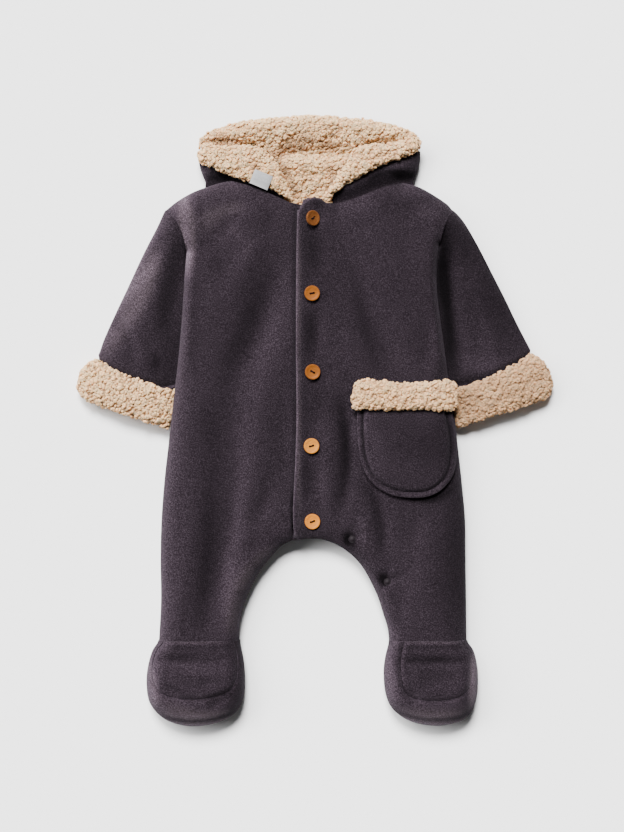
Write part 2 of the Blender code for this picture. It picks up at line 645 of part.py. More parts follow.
def lapel_top(side, at):
    edge = distance_to_any([LAPEL_TOPS[side], LAPEL_FEET[side]], at)
    return lapel_bottom(side, at) + 1.2 + (LAPEL_PILE - 1.2) * dome(edge, 6.0)


def pile_floor_top(at):
    """The hood's inside: a rolled rim, a fall to the crease and a low swell under it."""
    rim = distance_to(RIM_LINE, at)
    roll = RIM_CROWN * (1 - 0.42 * (1 - dome(rim, RIM_ROLL)))
    fall = ease((rim - RIM_ROLL) / RIM_FALL)
    swell = HOOD_SWELL * np.exp(-((at[:, 1] - HOOD_SWELL_Y) / HOOD_SWELL_WIDTH) ** 2)
    z = HOOD_FLOOR + (roll - HOOD_FLOOR) * (1 - fall) + swell * fall
    for side in ("right", "left"):
        loop = np.vstack([LAPEL_TOPS[side][:-1], LAPEL_FEET[side][:-1]])
        past = np.where(inside(loop, at), 0, distance_to(np.vstack([loop, loop[:1]]), at))
        z = np.minimum(z, HOOD_FLOOR + np.maximum(0, past - 1.0))
    return np.maximum(z, hood_back_bottom(at) + HOOD_WALL + THINNEST_PILE)


def pile_floor_bottom(at):
    back_inner = hood_back_bottom(at) + HOOD_WALL * 1.35 + 1.5
    top = pile_floor_top(at)
    return np.minimum(np.maximum(back_inner, top - PILE), top - THINNEST_PILE)


def neck_pile_top(at):
    return np.full(len(at), WALL + NECK_PILE_LIFT + NECK_PILE_DEPTH)


def neck_pile_bottom(at):
    return np.full(len(at), WALL + NECK_PILE_LIFT)


def set_back(line, by):
    """The line moved inward from the hood's outline, towards its middle."""
    ahead = np.gradient(line, axis=0)
    ahead /= np.linalg.norm(ahead, axis=1)[:, None]
    return line + by * np.column_stack([ahead[:, 1], -ahead[:, 0]])


def add_hood():
    rim = set_back(RIM_LINE[1:-1], RIM_SETBACK)[::2]
    right, left = HOOD_SIDE_LINES["right"], HOOD_SIDE_LINES["left"]
    foot = curve(HOOD_FOOT, 13)
    add_panel("hood_back", [
        closing(curve(HOOD_RIGHT_EDGE, 9)), free(np.array([right[-1], rim[0]])), closing(rim),
        free(np.array([rim[-1], left[0]])), closing(curve(HOOD_LEFT_EDGE, 9)), free(foot),
    ], hood_back_bottom, HOOD_WALL, "fleece", faces_up=False, spacing=26.0, insets=(4.0,))
    add_pad("hood_pile", [
        free(curve(HOOD_FLOOR_FOOT, 9)), free(np.array([(-112, 274), RIM_LINE[2]])),
        free(RIM_LINE[2:-2:1]), free(np.array([RIM_LINE[-3], (101, 277)])),
    ], pile_floor_bottom, pile_floor_top, "pile", spacing=13.0, insets=(4.0,))
    add_pad("neck_pile", [free(spaced(pair, 14)) for pair in zip(xy(NECK_PILE), xy(NECK_PILE)[1:])],
            neck_pile_bottom, neck_pile_top, "pile", spacing=16.0, insets=())
    for side, fold_table, edge_table in (("right", RIGHT_SIDE_FOLD, HOOD_RIGHT_EDGE),
                                         ("left", LEFT_SIDE_FOLD, HOOD_LEFT_EDGE)):
        edge = curve(edge_table, 7)
        edge = edge[:-1] if side == "right" else edge[1:][::-1]
        fold = curve(fold_table, 9)
        foot_line = xy(SIDE_PANEL_FEET[side])
        add_panel(f"hood_side_{side}", [
            closing(edge), free(np.array([edge[-1], fold[0]])), free(fold),
            free(np.array([fold[-1], foot_line[0]])), free(foot_line),
            free(np.array([foot_line[-1], edge[0]])),
        ], lambda at, side=side: side_top(side, at), HOOD_WALL, "fleece", spacing=12.0, insets=(3.0,))
        add_pad(f"hood_lapel_{side}", [free(curve(table, 6)) for table in (
            (RIGHT_LAPEL_TOP, RIGHT_LAPEL_FOOT) if side == "right" else (LEFT_LAPEL_TOP, LEFT_LAPEL_FOOT))],
            lambda at, side=side: lapel_bottom(side, at), lambda at, side=side: lapel_top(side, at),
            "pile", spacing=9.0, insets=(2.5,))


# ---- feet ----

FEET = {"right": (RIGHT_FOOT, RIGHT_TOP_SEAM), "left": (LEFT_FOOT, LEFT_TOP_SEAM)}


def foot_top(side, at):
    outline, seam = (curve(table, 6) for table in FEET[side])
    swell = ease((outline[0][1] - at[:, 1]) / FOOT_RISE)
    crown = BODY_CROWN + (FOOT_CROWN - BODY_CROWN) * swell
    crown = crown - INSTEP_CREASE * np.exp(-((at[:, 1] - INSTEP_CREASE_Y) / INSTEP_CREASE_WIDTH) ** 2)
    crown = crown - TOP_SEAM_DIP * np.exp(-(distance_to(seam, at) / TOP_SEAM_WIDTH) ** 2)
    return SEAM_Z + (crown - SEAM_Z) * dome(distance_to(outline, at), FOOT_REACH)


def sole_bottom(side, at):
    outline = curve(FEET[side][0], 6)
    return (SEAM_Z - SEAM_GAP) * (1 - dome(distance_to(outline, at), SOLE_REACH))


def add_feet():
    for side, (outline_table, seam_table) in FEET.items():
        outline, seam = curve(outline_table, 9), curve(seam_table, 9)
        inset = set_back(seam, FOOT_SEAM_GAP * (1 if side == "left" else -1))
        inset[0], inset[-1] = seam[0], seam[-1]
        ends = np.sign(seam[-1][0] - seam[0][0]) * FOOT_SEAM_GAP
        inset[0][0] += ends
        inset[-1][0] -= ends
        height = lambda at, side=side: foot_top(side, at)
        add_panel(f"foot_top_{side}", [free(inset), free(spaced(np.array([inset[-1], inset[0]]), 13))],
                  height, WALL, "fleece", spacing=15.0, insets=(4.0,))
        add_panel(f"foot_band_{side}", [
            closing(outline), free(np.array([outline[-1], seam[-1]])), free(seam[::-1]),
            free(np.array([seam[0], outline[0]])),
        ], height, WALL, "fleece", spacing=12.0, insets=(3.0,))
        add_panel(f"sole_{side}", [
            closing(outline), free(spaced(np.array([outline[-1], outline[0]]), 13)),
        ], lambda at, side=side: sole_bottom(side, at), WALL, "fleece", faces_up=False, spacing=30.0,
            insets=(4.0,))


# ---- pocket, buttons, studs and label ----

def moved_out(at, by):
    """The left front's outer face at these plan points, moved out along its own normal."""
    slope_x, slope_y = slopes(body_top, at)
    normal = np.column_stack([-slope_x, -slope_y, np.ones(len(at))])
    normal /= np.linalg.norm(normal, axis=1)[:, None]
    return np.column_stack([at, body_top(at)]) + normal * np.reshape(by, (-1, 1))


def pocket_lift(at):
    """Clearance under the patch: stitched down round its edge, slack in the middle."""
    edge = distance_to(curve(POCKET, 6)[:-6], at)
    return 3 * SEAM_GAP + POCKET_SWELL * dome(edge, 18.0)


def add_pocket():
    loop, _, outward = loop_of([free(curve(POCKET, 8))])
    points, faces = triangles_in(loop, inner_points(loop, outward, 19.0, (4.0,)))
    lift = pocket_lift(points)
    add_solid("pocket", moved_out(points, lift + POCKET_WALL), moved_out(points, lift), faces, "fleece")

    def band_bottom(at):
        slope_x, slope_y = slopes(body_top, at)
        stretch = np.sqrt(1 + slope_x ** 2 + slope_y ** 2)
        over = body_top(at) + (POCKET_WALL + 3 * SEAM_GAP + POCKET_SWELL + 0.8) * np.minimum(stretch, 2.0)
        return np.maximum(over, BAND_LOWEST)

    def band_top(at):
        edge = distance_to(curve(POCKET_BAND, 6), at)
        return band_bottom(at) + 1.5 + (BAND_PILE - 1.5) * dome(edge, 7.0)

    add_pad("pocket_band", [free(curve(POCKET_BAND, 7))], band_bottom, band_top, "pile", spacing=11.0,
            insets=(3.0,))


def circle(radius, count, centre=(0.0, 0.0)):
    angles = np.linspace(0, 2 * math.pi, count, endpoint=False)
    return np.column_stack([np.cos(angles), np.sin(angles)]) * radius + centre


def button_mesh_points():
    rim = circle(BUTTON_RADIUS, 20)
    shoulder = circle(BUTTON_RADIUS - BUTTON_RIM, 20)
    holes = [circle(BUTTON_HOLE_RADIUS, 6, (sign * BUTTON_HOLE_APART / 2, 0)) for sign in (-1, 1)]
    points, faces = triangles_in(rim, shoulder, holes)
    out = np.clip((np.linalg.norm(points, axis=1) - (BUTTON_RADIUS - BUTTON_RIM)) / BUTTON_RIM, 0, 1)
    edge = BUTTON_RIM * out ** 2
    return np.column_stack([points, BUTTON_THICK - edge]), np.column_stack([points, edge]), faces


def seat(obj, carrier, x, y, radius, tilt=0.0, turn=0.0):
    """Sets a small hard piece, whose underside is at its own z = 0, a seam gap off the carrier's cloth."""
    cloth = BVHTree.FromObject(carrier, bpy.context.evaluated_depsgraph_get())
    lean = math.tan(math.radians(tilt))
    highest = -math.inf
    for px, py in np.vstack([circle(radius, 32), circle(radius * 0.6, 16), [(0.0, 0.0)]]):
        hit = cloth.ray_cast(Vector(((x + px) * MM, (y + py) * MM, 1)), Vector((0, 0, -1)))[0]
        highest = max(highest, hit.z / MM + lean * px)
    obj.location = (x * MM, y * MM, (highest + SEAM_GAP * 1.2) * MM)
    obj.rotation_euler = (0, math.radians(tilt), 0)
    obj.rotation_euler.rotate_axis("Z", math.radians(turn))


def add_fastenings():
    carrier = bpy.data.objects["front_left"]
    upper, lower, faces = button_mesh_points()
    for number, button in enumerate(BUTTONS, 1):
        obj = add_solid(f"button_{number}", upper, lower, faces, "wood")
        seat(obj, carrier, button.x, button.y, BUTTON_RADIUS, button.tilt, button.turn)
    for number, stud in enumerate(STUDS, 1):
        loop = circle(STUD_RADIUS, 16)
        points, faces = triangles_in(loop, np.vstack([circle(STUD_RADIUS * 0.6, 10), [(0.0, 0.0)]]))
        radius = np.linalg.norm(points, axis=1)
        z = STUD_HEIGHT * (0.35 + 0.65 * dome(STUD_RADIUS - radius, STUD_RADIUS))
        obj = add_solid(f"stud_{number}", np.column_stack([points, z]),
                        np.column_stack([points, np.zeros(len(points))]), faces, "stud")
        seat(obj, carrier, stud.x, stud.y, STUD_RADIUS)


def add_label():
    """A folded ribbon hanging over the lapel's lower edge."""
    across = np.linspace(-LABEL_WIDTH / 2, LABEL_WIDTH / 2, LABEL_ACROSS)
    along = np.linspace(-LABEL_LENGTH / 2, LABEL_LENGTH / 2, LABEL_ALONG)
    turn = np.array([(math.cos(LABEL_TURN), math.sin(LABEL_TURN)),
                     (-math.sin(LABEL_TURN), math.cos(LABEL_TURN))])
    plan = np.array([(u, v) for v in along for u in across]) @ turn + (LABEL_CENTRE.x, LABEL_CENTRE.y)
    loop = np.vstack([LAPEL_TOPS["right"][:-1], LAPEL_FEET["right"][:-1]])
    under = np.where(inside(loop, plan), lapel_top("right", plan), side_top("right", plan))
    height = under.reshape(LABEL_ALONG, LABEL_ACROSS).max(axis=1)
    for _ in range(2):
        eased = np.convolve(np.pad(height, 1, mode="edge"), (0.3, 0.4, 0.3), "valid")
        height = np.maximum(height, eased)
    z = np.repeat(height, LABEL_ACROSS) + LABEL_LIFT
    faces = []
    for i in range(LABEL_ALONG - 1):
        for j in range(LABEL_ACROSS - 1):
            a = i * LABEL_ACROSS + j
            b = a + LABEL_ACROSS
            faces += [(a, a + 1, b + 1), (a, b + 1, b)]
    add_solid("label", np.column_stack([plan, z + LABEL_THICK]), np.column_stack([plan, z]),
              np.array(faces), "satin")


def make_materials():
    made = {}
    for slot, (colour, roughness) in COLOURS.items():
        material = bpy.data.materials.new(slot)
        material.use_nodes = True
        shader = material.node_tree.nodes["Principled BSDF"]
        shader.inputs["Base Color"].default_value = (*colour, 1)
        shader.inputs["Roughness"].default_value = roughness
        shader.inputs["Metallic"].default_value = 0.0
        material.diffuse_color = (*colour, 1)
        made[slot] = material
    return made


for leftover in list(bpy.data.objects):
    bpy.data.objects.remove(leftover, do_unlink=True)
MATERIALS = make_materials()
add_body()
add_arms()
add_hood()
add_feet()
add_pocket()
add_fastenings()
add_label()
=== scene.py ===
"""Looks of a hooded fleece pramsuit with feet, laid flat on its back and seen from straight above.

Tables and plan geometry are in millimetres, in the frame's axes: X to the wearer's left, Y from the
feet to the hood, Z up. MM turns them into metres when a mesh is made. Every cloth piece is a thin
closed shell on its solid's form, with the creases of its tables, and the sherpa pile is real curls
scattered over a base sheet.
"""

import itertools
import math
from collections import namedtuple
from functools import partial

import bpy
import numpy as np
from mathutils import Matrix, Quaternion, Vector
from mathutils.geometry import delaunay_2d_cdt
from mathutils.kdtree import KDTree


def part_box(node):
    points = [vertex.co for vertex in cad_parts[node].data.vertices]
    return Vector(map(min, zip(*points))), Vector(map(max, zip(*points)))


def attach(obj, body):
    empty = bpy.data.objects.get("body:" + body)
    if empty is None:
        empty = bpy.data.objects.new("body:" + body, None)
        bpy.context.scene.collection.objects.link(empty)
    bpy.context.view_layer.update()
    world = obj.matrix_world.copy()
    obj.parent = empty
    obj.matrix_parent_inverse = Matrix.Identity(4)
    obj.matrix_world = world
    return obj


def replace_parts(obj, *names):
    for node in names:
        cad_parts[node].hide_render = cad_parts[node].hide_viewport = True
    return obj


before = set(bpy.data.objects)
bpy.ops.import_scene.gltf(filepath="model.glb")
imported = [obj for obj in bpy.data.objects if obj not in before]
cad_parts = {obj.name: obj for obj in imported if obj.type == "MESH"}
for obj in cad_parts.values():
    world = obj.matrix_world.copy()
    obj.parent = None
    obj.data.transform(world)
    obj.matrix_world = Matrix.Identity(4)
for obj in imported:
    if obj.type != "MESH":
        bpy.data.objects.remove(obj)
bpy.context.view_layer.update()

MM = 0.001

# ---- sizes of the cloth ----

SEAM_GAP = 0.3  # between two pieces that meet at a seam
WALL, SLEEVE_WALL, HOOD_WALL, POCKET_WALL, CUFF_WALL = 3.6, 3.0, 3.2, 3.0, 5.0
SEAM_Z = 13.0  # height of the body's side seams
BODY_CROWN, BODY_REACH, BACK_REACH = 26.0, 24.0, 22.0
INNER_REACH = 15.0  # the rounding inside the legs is sharper
BESIDE_REACH = {"right": 12.0, "left": 8.0}
NECK_DIP, NECK_DIP_REACH = 4.5, 25.0
UNDERLAP_DROP, UNDERLAP_FROM, UNDERLAP_TO = 4.4, -24.0, -12.0
UNDERLAP_EDGE_X, UNDERLAP_FOOT_Y = 12.0, -90.0
FINE = 2.3  # spacing of the cloth's points
COARSE = 4.5  # the same where little shows

Point = namedtuple("Point", "x y")
Crease = namedtuple("Crease", "x0 y0 x1 y1 bow width depth")
Ring = namedtuple("Ring", "outer_x outer_y inner_x inner_y floor crown outer_z inner_z bow inset",
                  defaults=(0.0,))


def rows(kind, *values):
    """A table's rows, each as a named tuple of the kind."""
    return [kind(*row) for row in values]


# ---- outlines ----

# Wearer's right is -X. Each line runs from the ankle up.
RIGHT_SIDE = rows(Point, (-156, -219), (-154, -178), (-154.5, -138), (-153.5, -98), (-150.5, -58),
                  (-146, -18), (-142, 18), (-137, 60), (-133, 105), (-130.5, 145), (-128.5, 168.5))
LEFT_SIDE = rows(Point, (151.5, -219), (151, -178), (150.5, -138), (150, -98), (146.5, -58),
                 (142, -18), (139, 10), (134, 40), (127, 90), (122.5, 125), (121.8, 150), (124.5, 176))
RIGHT_SHOULDER = rows(Point, (-149, 211), (-137, 220.5), (-120, 230), (-98, 237.5), (-85, 240.5))
LEFT_SHOULDER = rows(Point, (137, 211.5), (131, 218), (115, 228.5), (102, 235), (88, 238.5))
RIGHT_NECK = rows(Point, (-85, 240.5), (-69, 236), (-54, 231), (-39, 224.5), (-25, 218.5), (-12, 216))
LEFT_NECK = rows(Point, (88, 238.5), (72, 234.5), (53, 227.5), (38, 221.5), (22, 217.5), (12, 217.5))
BACK_NECK = rows(Point, (-60, 241.5), (-20, 243), (20, 243), (60, 241))
PLACKET = rows(Point, (12, 217.5), (5, 221), (-2.5, 222), (-10, 219), (-15, 212), (-17.5, 203),
               (-18.5, 170), (-19, 92), (-18.5, 5), (-20, -45), (-22, -90), (-20.5, -112), (-17, -118))
RIGHT_INNER = rows(Point, (-75.5, -219), (-75, -203), (-71, -184.5), (-65, -168.5), (-56, -151),
                   (-45, -136.5), (-34, -124.5), (-23, -118.3))
LEFT_INNER = rows(Point, (74, -219), (72.5, -206), (68, -191.5), (62.5, -174.5), (55, -158.5),
                  (46, -143.5), (34, -131), (21, -122.5), (8, -117.5), (-5, -116.5), (-17, -118))
ARMHOLE_BOW = {"right": 5.0, "left": 2.0}

# Each ring goes round the sleeve. Its inner end's x is left out: it follows the body's side.
RIGHT_SLEEVE = rows(
    Ring,
    (-149.8, 210.7, None, 168.0, 0, 25.5, 13, 13, -5),
    (-158, 194, None, 150, 0, 23, 11, 7, -3),
    (-172, 167, None, 126, 0, 20.5, 10, 4.6, 0),
    (-187, 135, None, 98, 0, 19, 9, 4.6, 0),
    (-200, 107.5, None, 74, 0, 18, 9, 4.6, 1),
    (-211, 83, None, 53, 0, 17.5, 9, 4.6, 3),
    (-217, 66.5, None, 38, 2.5, 17, 10, 6.5, 5),
)
LEFT_SLEEVE = rows(
    Ring,
    (137.8, 211.2, None, 175.7, 0, 25.5, 13, 13, -2),
    (149, 199.5, None, 155, 0, 23, 11, 7, -1),
    (163, 176, None, 133, 0, 20.5, 10, 4.6, 0),
    (178, 147, None, 106, 0, 19, 9, 4.6, 0),
    (190, 123.5, None, 82, 0, 18, 9, 4.6, 1),
    (202, 98.5, None, 62, 0, 17.5, 9, 4.6, 3),
    (215.5, 72.5, None, 40, 2.5, 17, 10, 6.5, 5),
)
RIGHT_CUFF = rows(
    Ring,
    (-221, 63.5, -142.8, 30, 1.0, 24, 12, 12, 5),
    (-234, 52, -144.2, 20, 0, 25.5, 12, 12, 4),
    (-238, 36, -146.4, 6, 0, 25.5, 12, 12, 2),
    (-231.5, 22.5, -149.6, -7, 1.0, 23.5, 12, 12, 0),
)
LEFT_CUFF = rows(
    Ring,
    (219, 68.5, 146.2, 31, 1.0, 24, 12, 12, 4),
    (232, 55.5, 146.4, 20, 0, 25.5, 12, 12, 4),
    (238, 38, 146.8, 7, 0, 25.5, 12, 12, 2),
    (232.5, 24.5, 147.6, -6, 1.0, 23.5, 12, 12, 0),
)

HOOD_RIM = rows(Point, (-116.5, 266), (-115.5, 274), (-110, 284.5), (-94, 291.5), (-71, 298.5),
                (-45, 302), (-18, 304), (5, 305), (28, 302.5), (59, 299.5), (82.5, 292.5), (98, 287),
                (104, 279.5), (105.5, 270))
HOOD_RIGHT_EDGE = rows(Point, (-109.5, 239.5), (-113.5, 249), (-116, 258), (-116.5, 266))
HOOD_LEFT_EDGE = rows(Point, (105.5, 270), (105, 260), (102.5, 250), (98.5, 240))
HOOD_FOOT = rows(Point, (98.5, 240), (88, 240.6), (60, 242), (20, 243.9), (-20, 243.9), (-60, 242.6),
                 (-85, 242.6), (-97, 241.2), (-109.5, 239.5))
HOOD_SEAM_Z, HOOD_REACH = 9.0, 18.0
RIM_SETBACK = 4.0
RIM_CROWN, RIM_ROLL, RIM_FALL = 24.5, 8.0, 36.0
RIM_DROP = 0.42  # share of its crown by which the rim rolls down at its edge
HOOD_FLOOR, UNDER_LAPEL, LAPEL_SLOPE = 10.5, 12.4, 1.4
FLOOR_PILE, THINNEST_PILE, FLOOR_SINK = 4.0, 1.6, 1.0  # the curls stand on the sunk base sheet
HOOD_SWELL_Y, HOOD_SWELL, HOOD_SWELL_WIDTH = 257.0, 5.0, 9.0
SIDE_CROWN, SIDE_REACH, SIDE_FOOT_REACH = 19.0, 20.0, 14.0
RIGHT_LAPEL_TOP = rows(Point, (-116, 268), (-109, 273.5), (-98, 272.5), (-80, 274), (-62, 273.5),
                       (-49, 268), (-38.5, 256.5), (-30.5, 239.5), (-24.5, 222))
RIGHT_LAPEL_FOOT = rows(Point, (-24.5, 222), (-28, 224.5), (-44.5, 233.5), (-64, 239.5), (-76, 243.5),
                        (-87, 247), (-98, 252.5), (-110.5, 257.5), (-115.5, 261.5), (-116, 268))
LEFT_LAPEL_TOP = rows(Point, (6.6, 220.8), (15, 230.5), (22, 241.5), (30.5, 254.5), (37, 266),
                      (44, 272), (56, 275), (75, 275.5), (88, 278.5), (97, 283), (104, 279))
LEFT_LAPEL_FOOT = rows(Point, (104, 279), (103.5, 273), (97, 268), (87, 263.5), (72, 258.5),
                       (59.5, 253.5), (51, 248.5), (40.5, 243), (31, 238), (22.5, 231.5), (14, 224),
                       (6.6, 220.8))
LAPELS = {"right": (RIGHT_LAPEL_TOP, RIGHT_LAPEL_FOOT), "left": (LEFT_LAPEL_TOP, LEFT_LAPEL_FOOT)}
SIDE_FOLDS = {
    "right": rows(Point, (-115.5, 263), (-100, 268), (-63, 269.5), (-53, 265), (-43, 254),
                  (-35, 237.5), (-31, 221)),
    "left": rows(Point, (104.8, 270), (96, 276), (76, 271.5), (57, 271), (47, 268), (41, 263),
                 (34.5, 252.5), (26, 239.5), (16, 224.5)),
}
SIDE_PANEL_FEET = {  # they end inside the neck seam and under the shoulders
    "right": rows(Point, (-30, 214.5), (-42, 220), (-56, 225.5), (-70, 231), (-85, 235.5), (-97, 233),
                  (-110, 228.5)),
    "left": rows(Point, (19, 212.5), (38, 216), (52, 221.5), (70, 229.5), (88, 233.5), (99, 230)),
}
HOOD_FLOOR_FOOT = rows(Point, (101, 277), (92, 270), (62, 264), (49, 256), (38, 246.5), (0, 246.5),
                       (-42, 246.5), (-50, 252), (-60, 260), (-96, 265), (-112, 274))
NECK_PILE = rows(Point, (-50, 200), (48, 200), (42, 244.5), (0, 245), (-46, 244.5), (-50, 200))
LAPEL_LEAST, LAPEL_SWELL, LAPEL_REACH, LAPEL_EDGE_LIFT = 1.2, 4.3, 6.0, 2.5
NECK_PILE_LIFT, NECK_PILE_DEPTH, NECK_PILE_RISE = 0.8, 3.2, 3.4
CORNER_FROM, CORNER_TO, CORNER_Z = 58.0, 84.0, 20.5  # where the rim runs into the turned-out edge

RIGHT_FOOT = rows(Point, (-156.5, -219.8), (-163, -230), (-167.5, -247), (-168.5, -263), (-166, -279),
                  (-158, -291), (-145, -300), (-126, -304.5), (-108, -303.5), (-90, -298), (-78, -289.5),
                  (-71.5, -277), (-70, -260), (-71, -240), (-75, -219.8))
LEFT_FOOT = rows(Point, (152, -219.8), (158.5, -229), (162, -243), (163, -259), (161.5, -276),
                 (156, -291), (145, -299.5), (126, -304), (106, -302.5), (90, -297), (77, -286.5),
                 (70.5, -272), (68.5, -252), (70, -236), (74, -219.8))
RIGHT_TOP_SEAM = rows(Point, (-151, -219.8), (-158, -228), (-162.5, -243), (-160.5, -259), (-153, -268.5),
                      (-138, -274), (-120, -275.5), (-102, -273.5), (-87, -268.5), (-79, -259),
                      (-76.5, -246), (-77.5, -231), (-81, -219.8))
LEFT_TOP_SEAM = rows(Point, (146.5, -219.8), (153.5, -228), (157.5, -243), (156, -259), (149, -270),
                     (136, -275), (118, -277), (101, -275), (90, -269), (86, -258), (84.5, -243),
                     (85.5, -231), (88, -219.8))
FEET = {"right": (RIGHT_FOOT, RIGHT_TOP_SEAM), "left": (LEFT_FOOT, LEFT_TOP_SEAM)}
FOOT_CROWN, FOOT_REACH, SOLE_REACH, FOOT_RISE = 33.0, 20.0, 16.0, 62.0

POCKET = rows(Point, (42, 36), (42, 11), (42.5, -15), (46, -40), (56, -60), (74, -72), (93, -75.5),
              (111, -74.5), (125.5, -67.5), (136, -53), (139.3, -34), (138.6, -12), (134, 12), (131, 36),
              (42, 36))
POCKET_BAND = rows(Point, (36.5, 18), (37.5, 32), (43, 40.5), (54, 41), (78, 38.5), (102, 38),
                   (120, 38.8), (132, 40.5), (139, 36), (140.5, 26), (139, 14), (132, 11.5), (104, 13),
                   (74, 12), (48, 12.5), (39, 12.5), (36.5, 18))
POCKET_SWELL, BAND_LOWEST = 1.6, 21.0

# ---- creases: depth is positive in a trough and negative on a ridge ----

BODY_CREASES = rows(
    Crease,
    # wearer's right front: one long slack trough from the chest to the ankle, with ridges beside it
    (-36, 158, -78, 40, 0.04, 17, 4.4),
    (-78, 46, -80, -40, -0.05, 19, 2.4),
    (-80, -34, -106, -200, 0.03, 12, 3.2),
    (-58, 190, -92, 110, 0.04, 15, -2.0),
    (-96, 96, -112, 0, 0.03, 18, -1.4),
    (-36, 66, -62, -60, -0.03, 15, -2.2),
    (-118, -50, -134, -196, 0.02, 10, -1.5),
    (-62, -64, -84, -190, 0.02, 11, -1.8),
    (-78, 214, -108, 176, 0.10, 10, 1.6),
    (-44, 212, -52, 178, 0.10, 9, 1.0),
    (-34, 24, -30, -60, 0.04, 10, 1.3),
    (-40, -52, -66, -106, 0.06, 10, 2.0),
    (-118, 180, -122, 90, 0.02, 9, 0.9),
    # the placket, slack between its buttons
    (3, 190, 5, 140, 0.03, 8, 2.4),
    (4, 114, 4, 66, -0.03, 8, 2.2),
    (3, 36, 2, -8, 0.03, 8, 2.0),
    (2, -40, 3, -84, -0.03, 7, 1.4),
    # wearer's left front
    (25, 190, 50, 92, -0.05, 15, 2.2),
    (50, 100, 84, 48, 0.04, 13, 2.0),
    (60, 196, 84, 90, 0.04, 20, -2.2),
    (104, 196, 108, 96, 0.02, 14, -1.2),
    (114, 150, 108, 52, 0.02, 9, 1.2),
    (22, 60, 24, -20, 0.02, 11, -1.0),
    (26, 6, 24, -92, 0.06, 9, 2.2),
    (40, 4, 40, -60, 0.04, 8, -1.0),
    (52, -64, 66, -132, 0.08, 7, 1.8),
    (98, -86, 94, -150, 0.02, 12, 1.8),
    (112, -96, 118, -206, 0.0, 13, -1.2),
    (140, -80, 138, -204, 0.02, 9, 1.4),
    (88, -150, 84, -212, 0.0, 9, 1.2),
)
# Short puckers that run from the studs to the leg's edge.
STUD_PUCKERS = rows(
    Crease,
    (2.5, 197, 2.5, 206, 0.0, 4.5, 1.9),  # the top button's pressed side
    (37, -117, 24, -112, 0.1, 3.0, 1.1),
    (37, -117, 40, -103, 0.1, 3.2, 1.0),
    (37, -117, 50, -110, 0.0, 3.2, 0.8),
    (37, -117, 30, -125, 0.0, 2.6, 0.8),
    (72, -159.5, 60, -150, 0.0, 3.2, 1.0),
    (72, -159.5, 74, -145, 0.1, 3.2, 0.8),
    (72, -159.5, 85, -156, 0.1, 3.4, 0.8),
    (72, -159.5, 66, -168, 0.0, 2.6, 0.8),
)
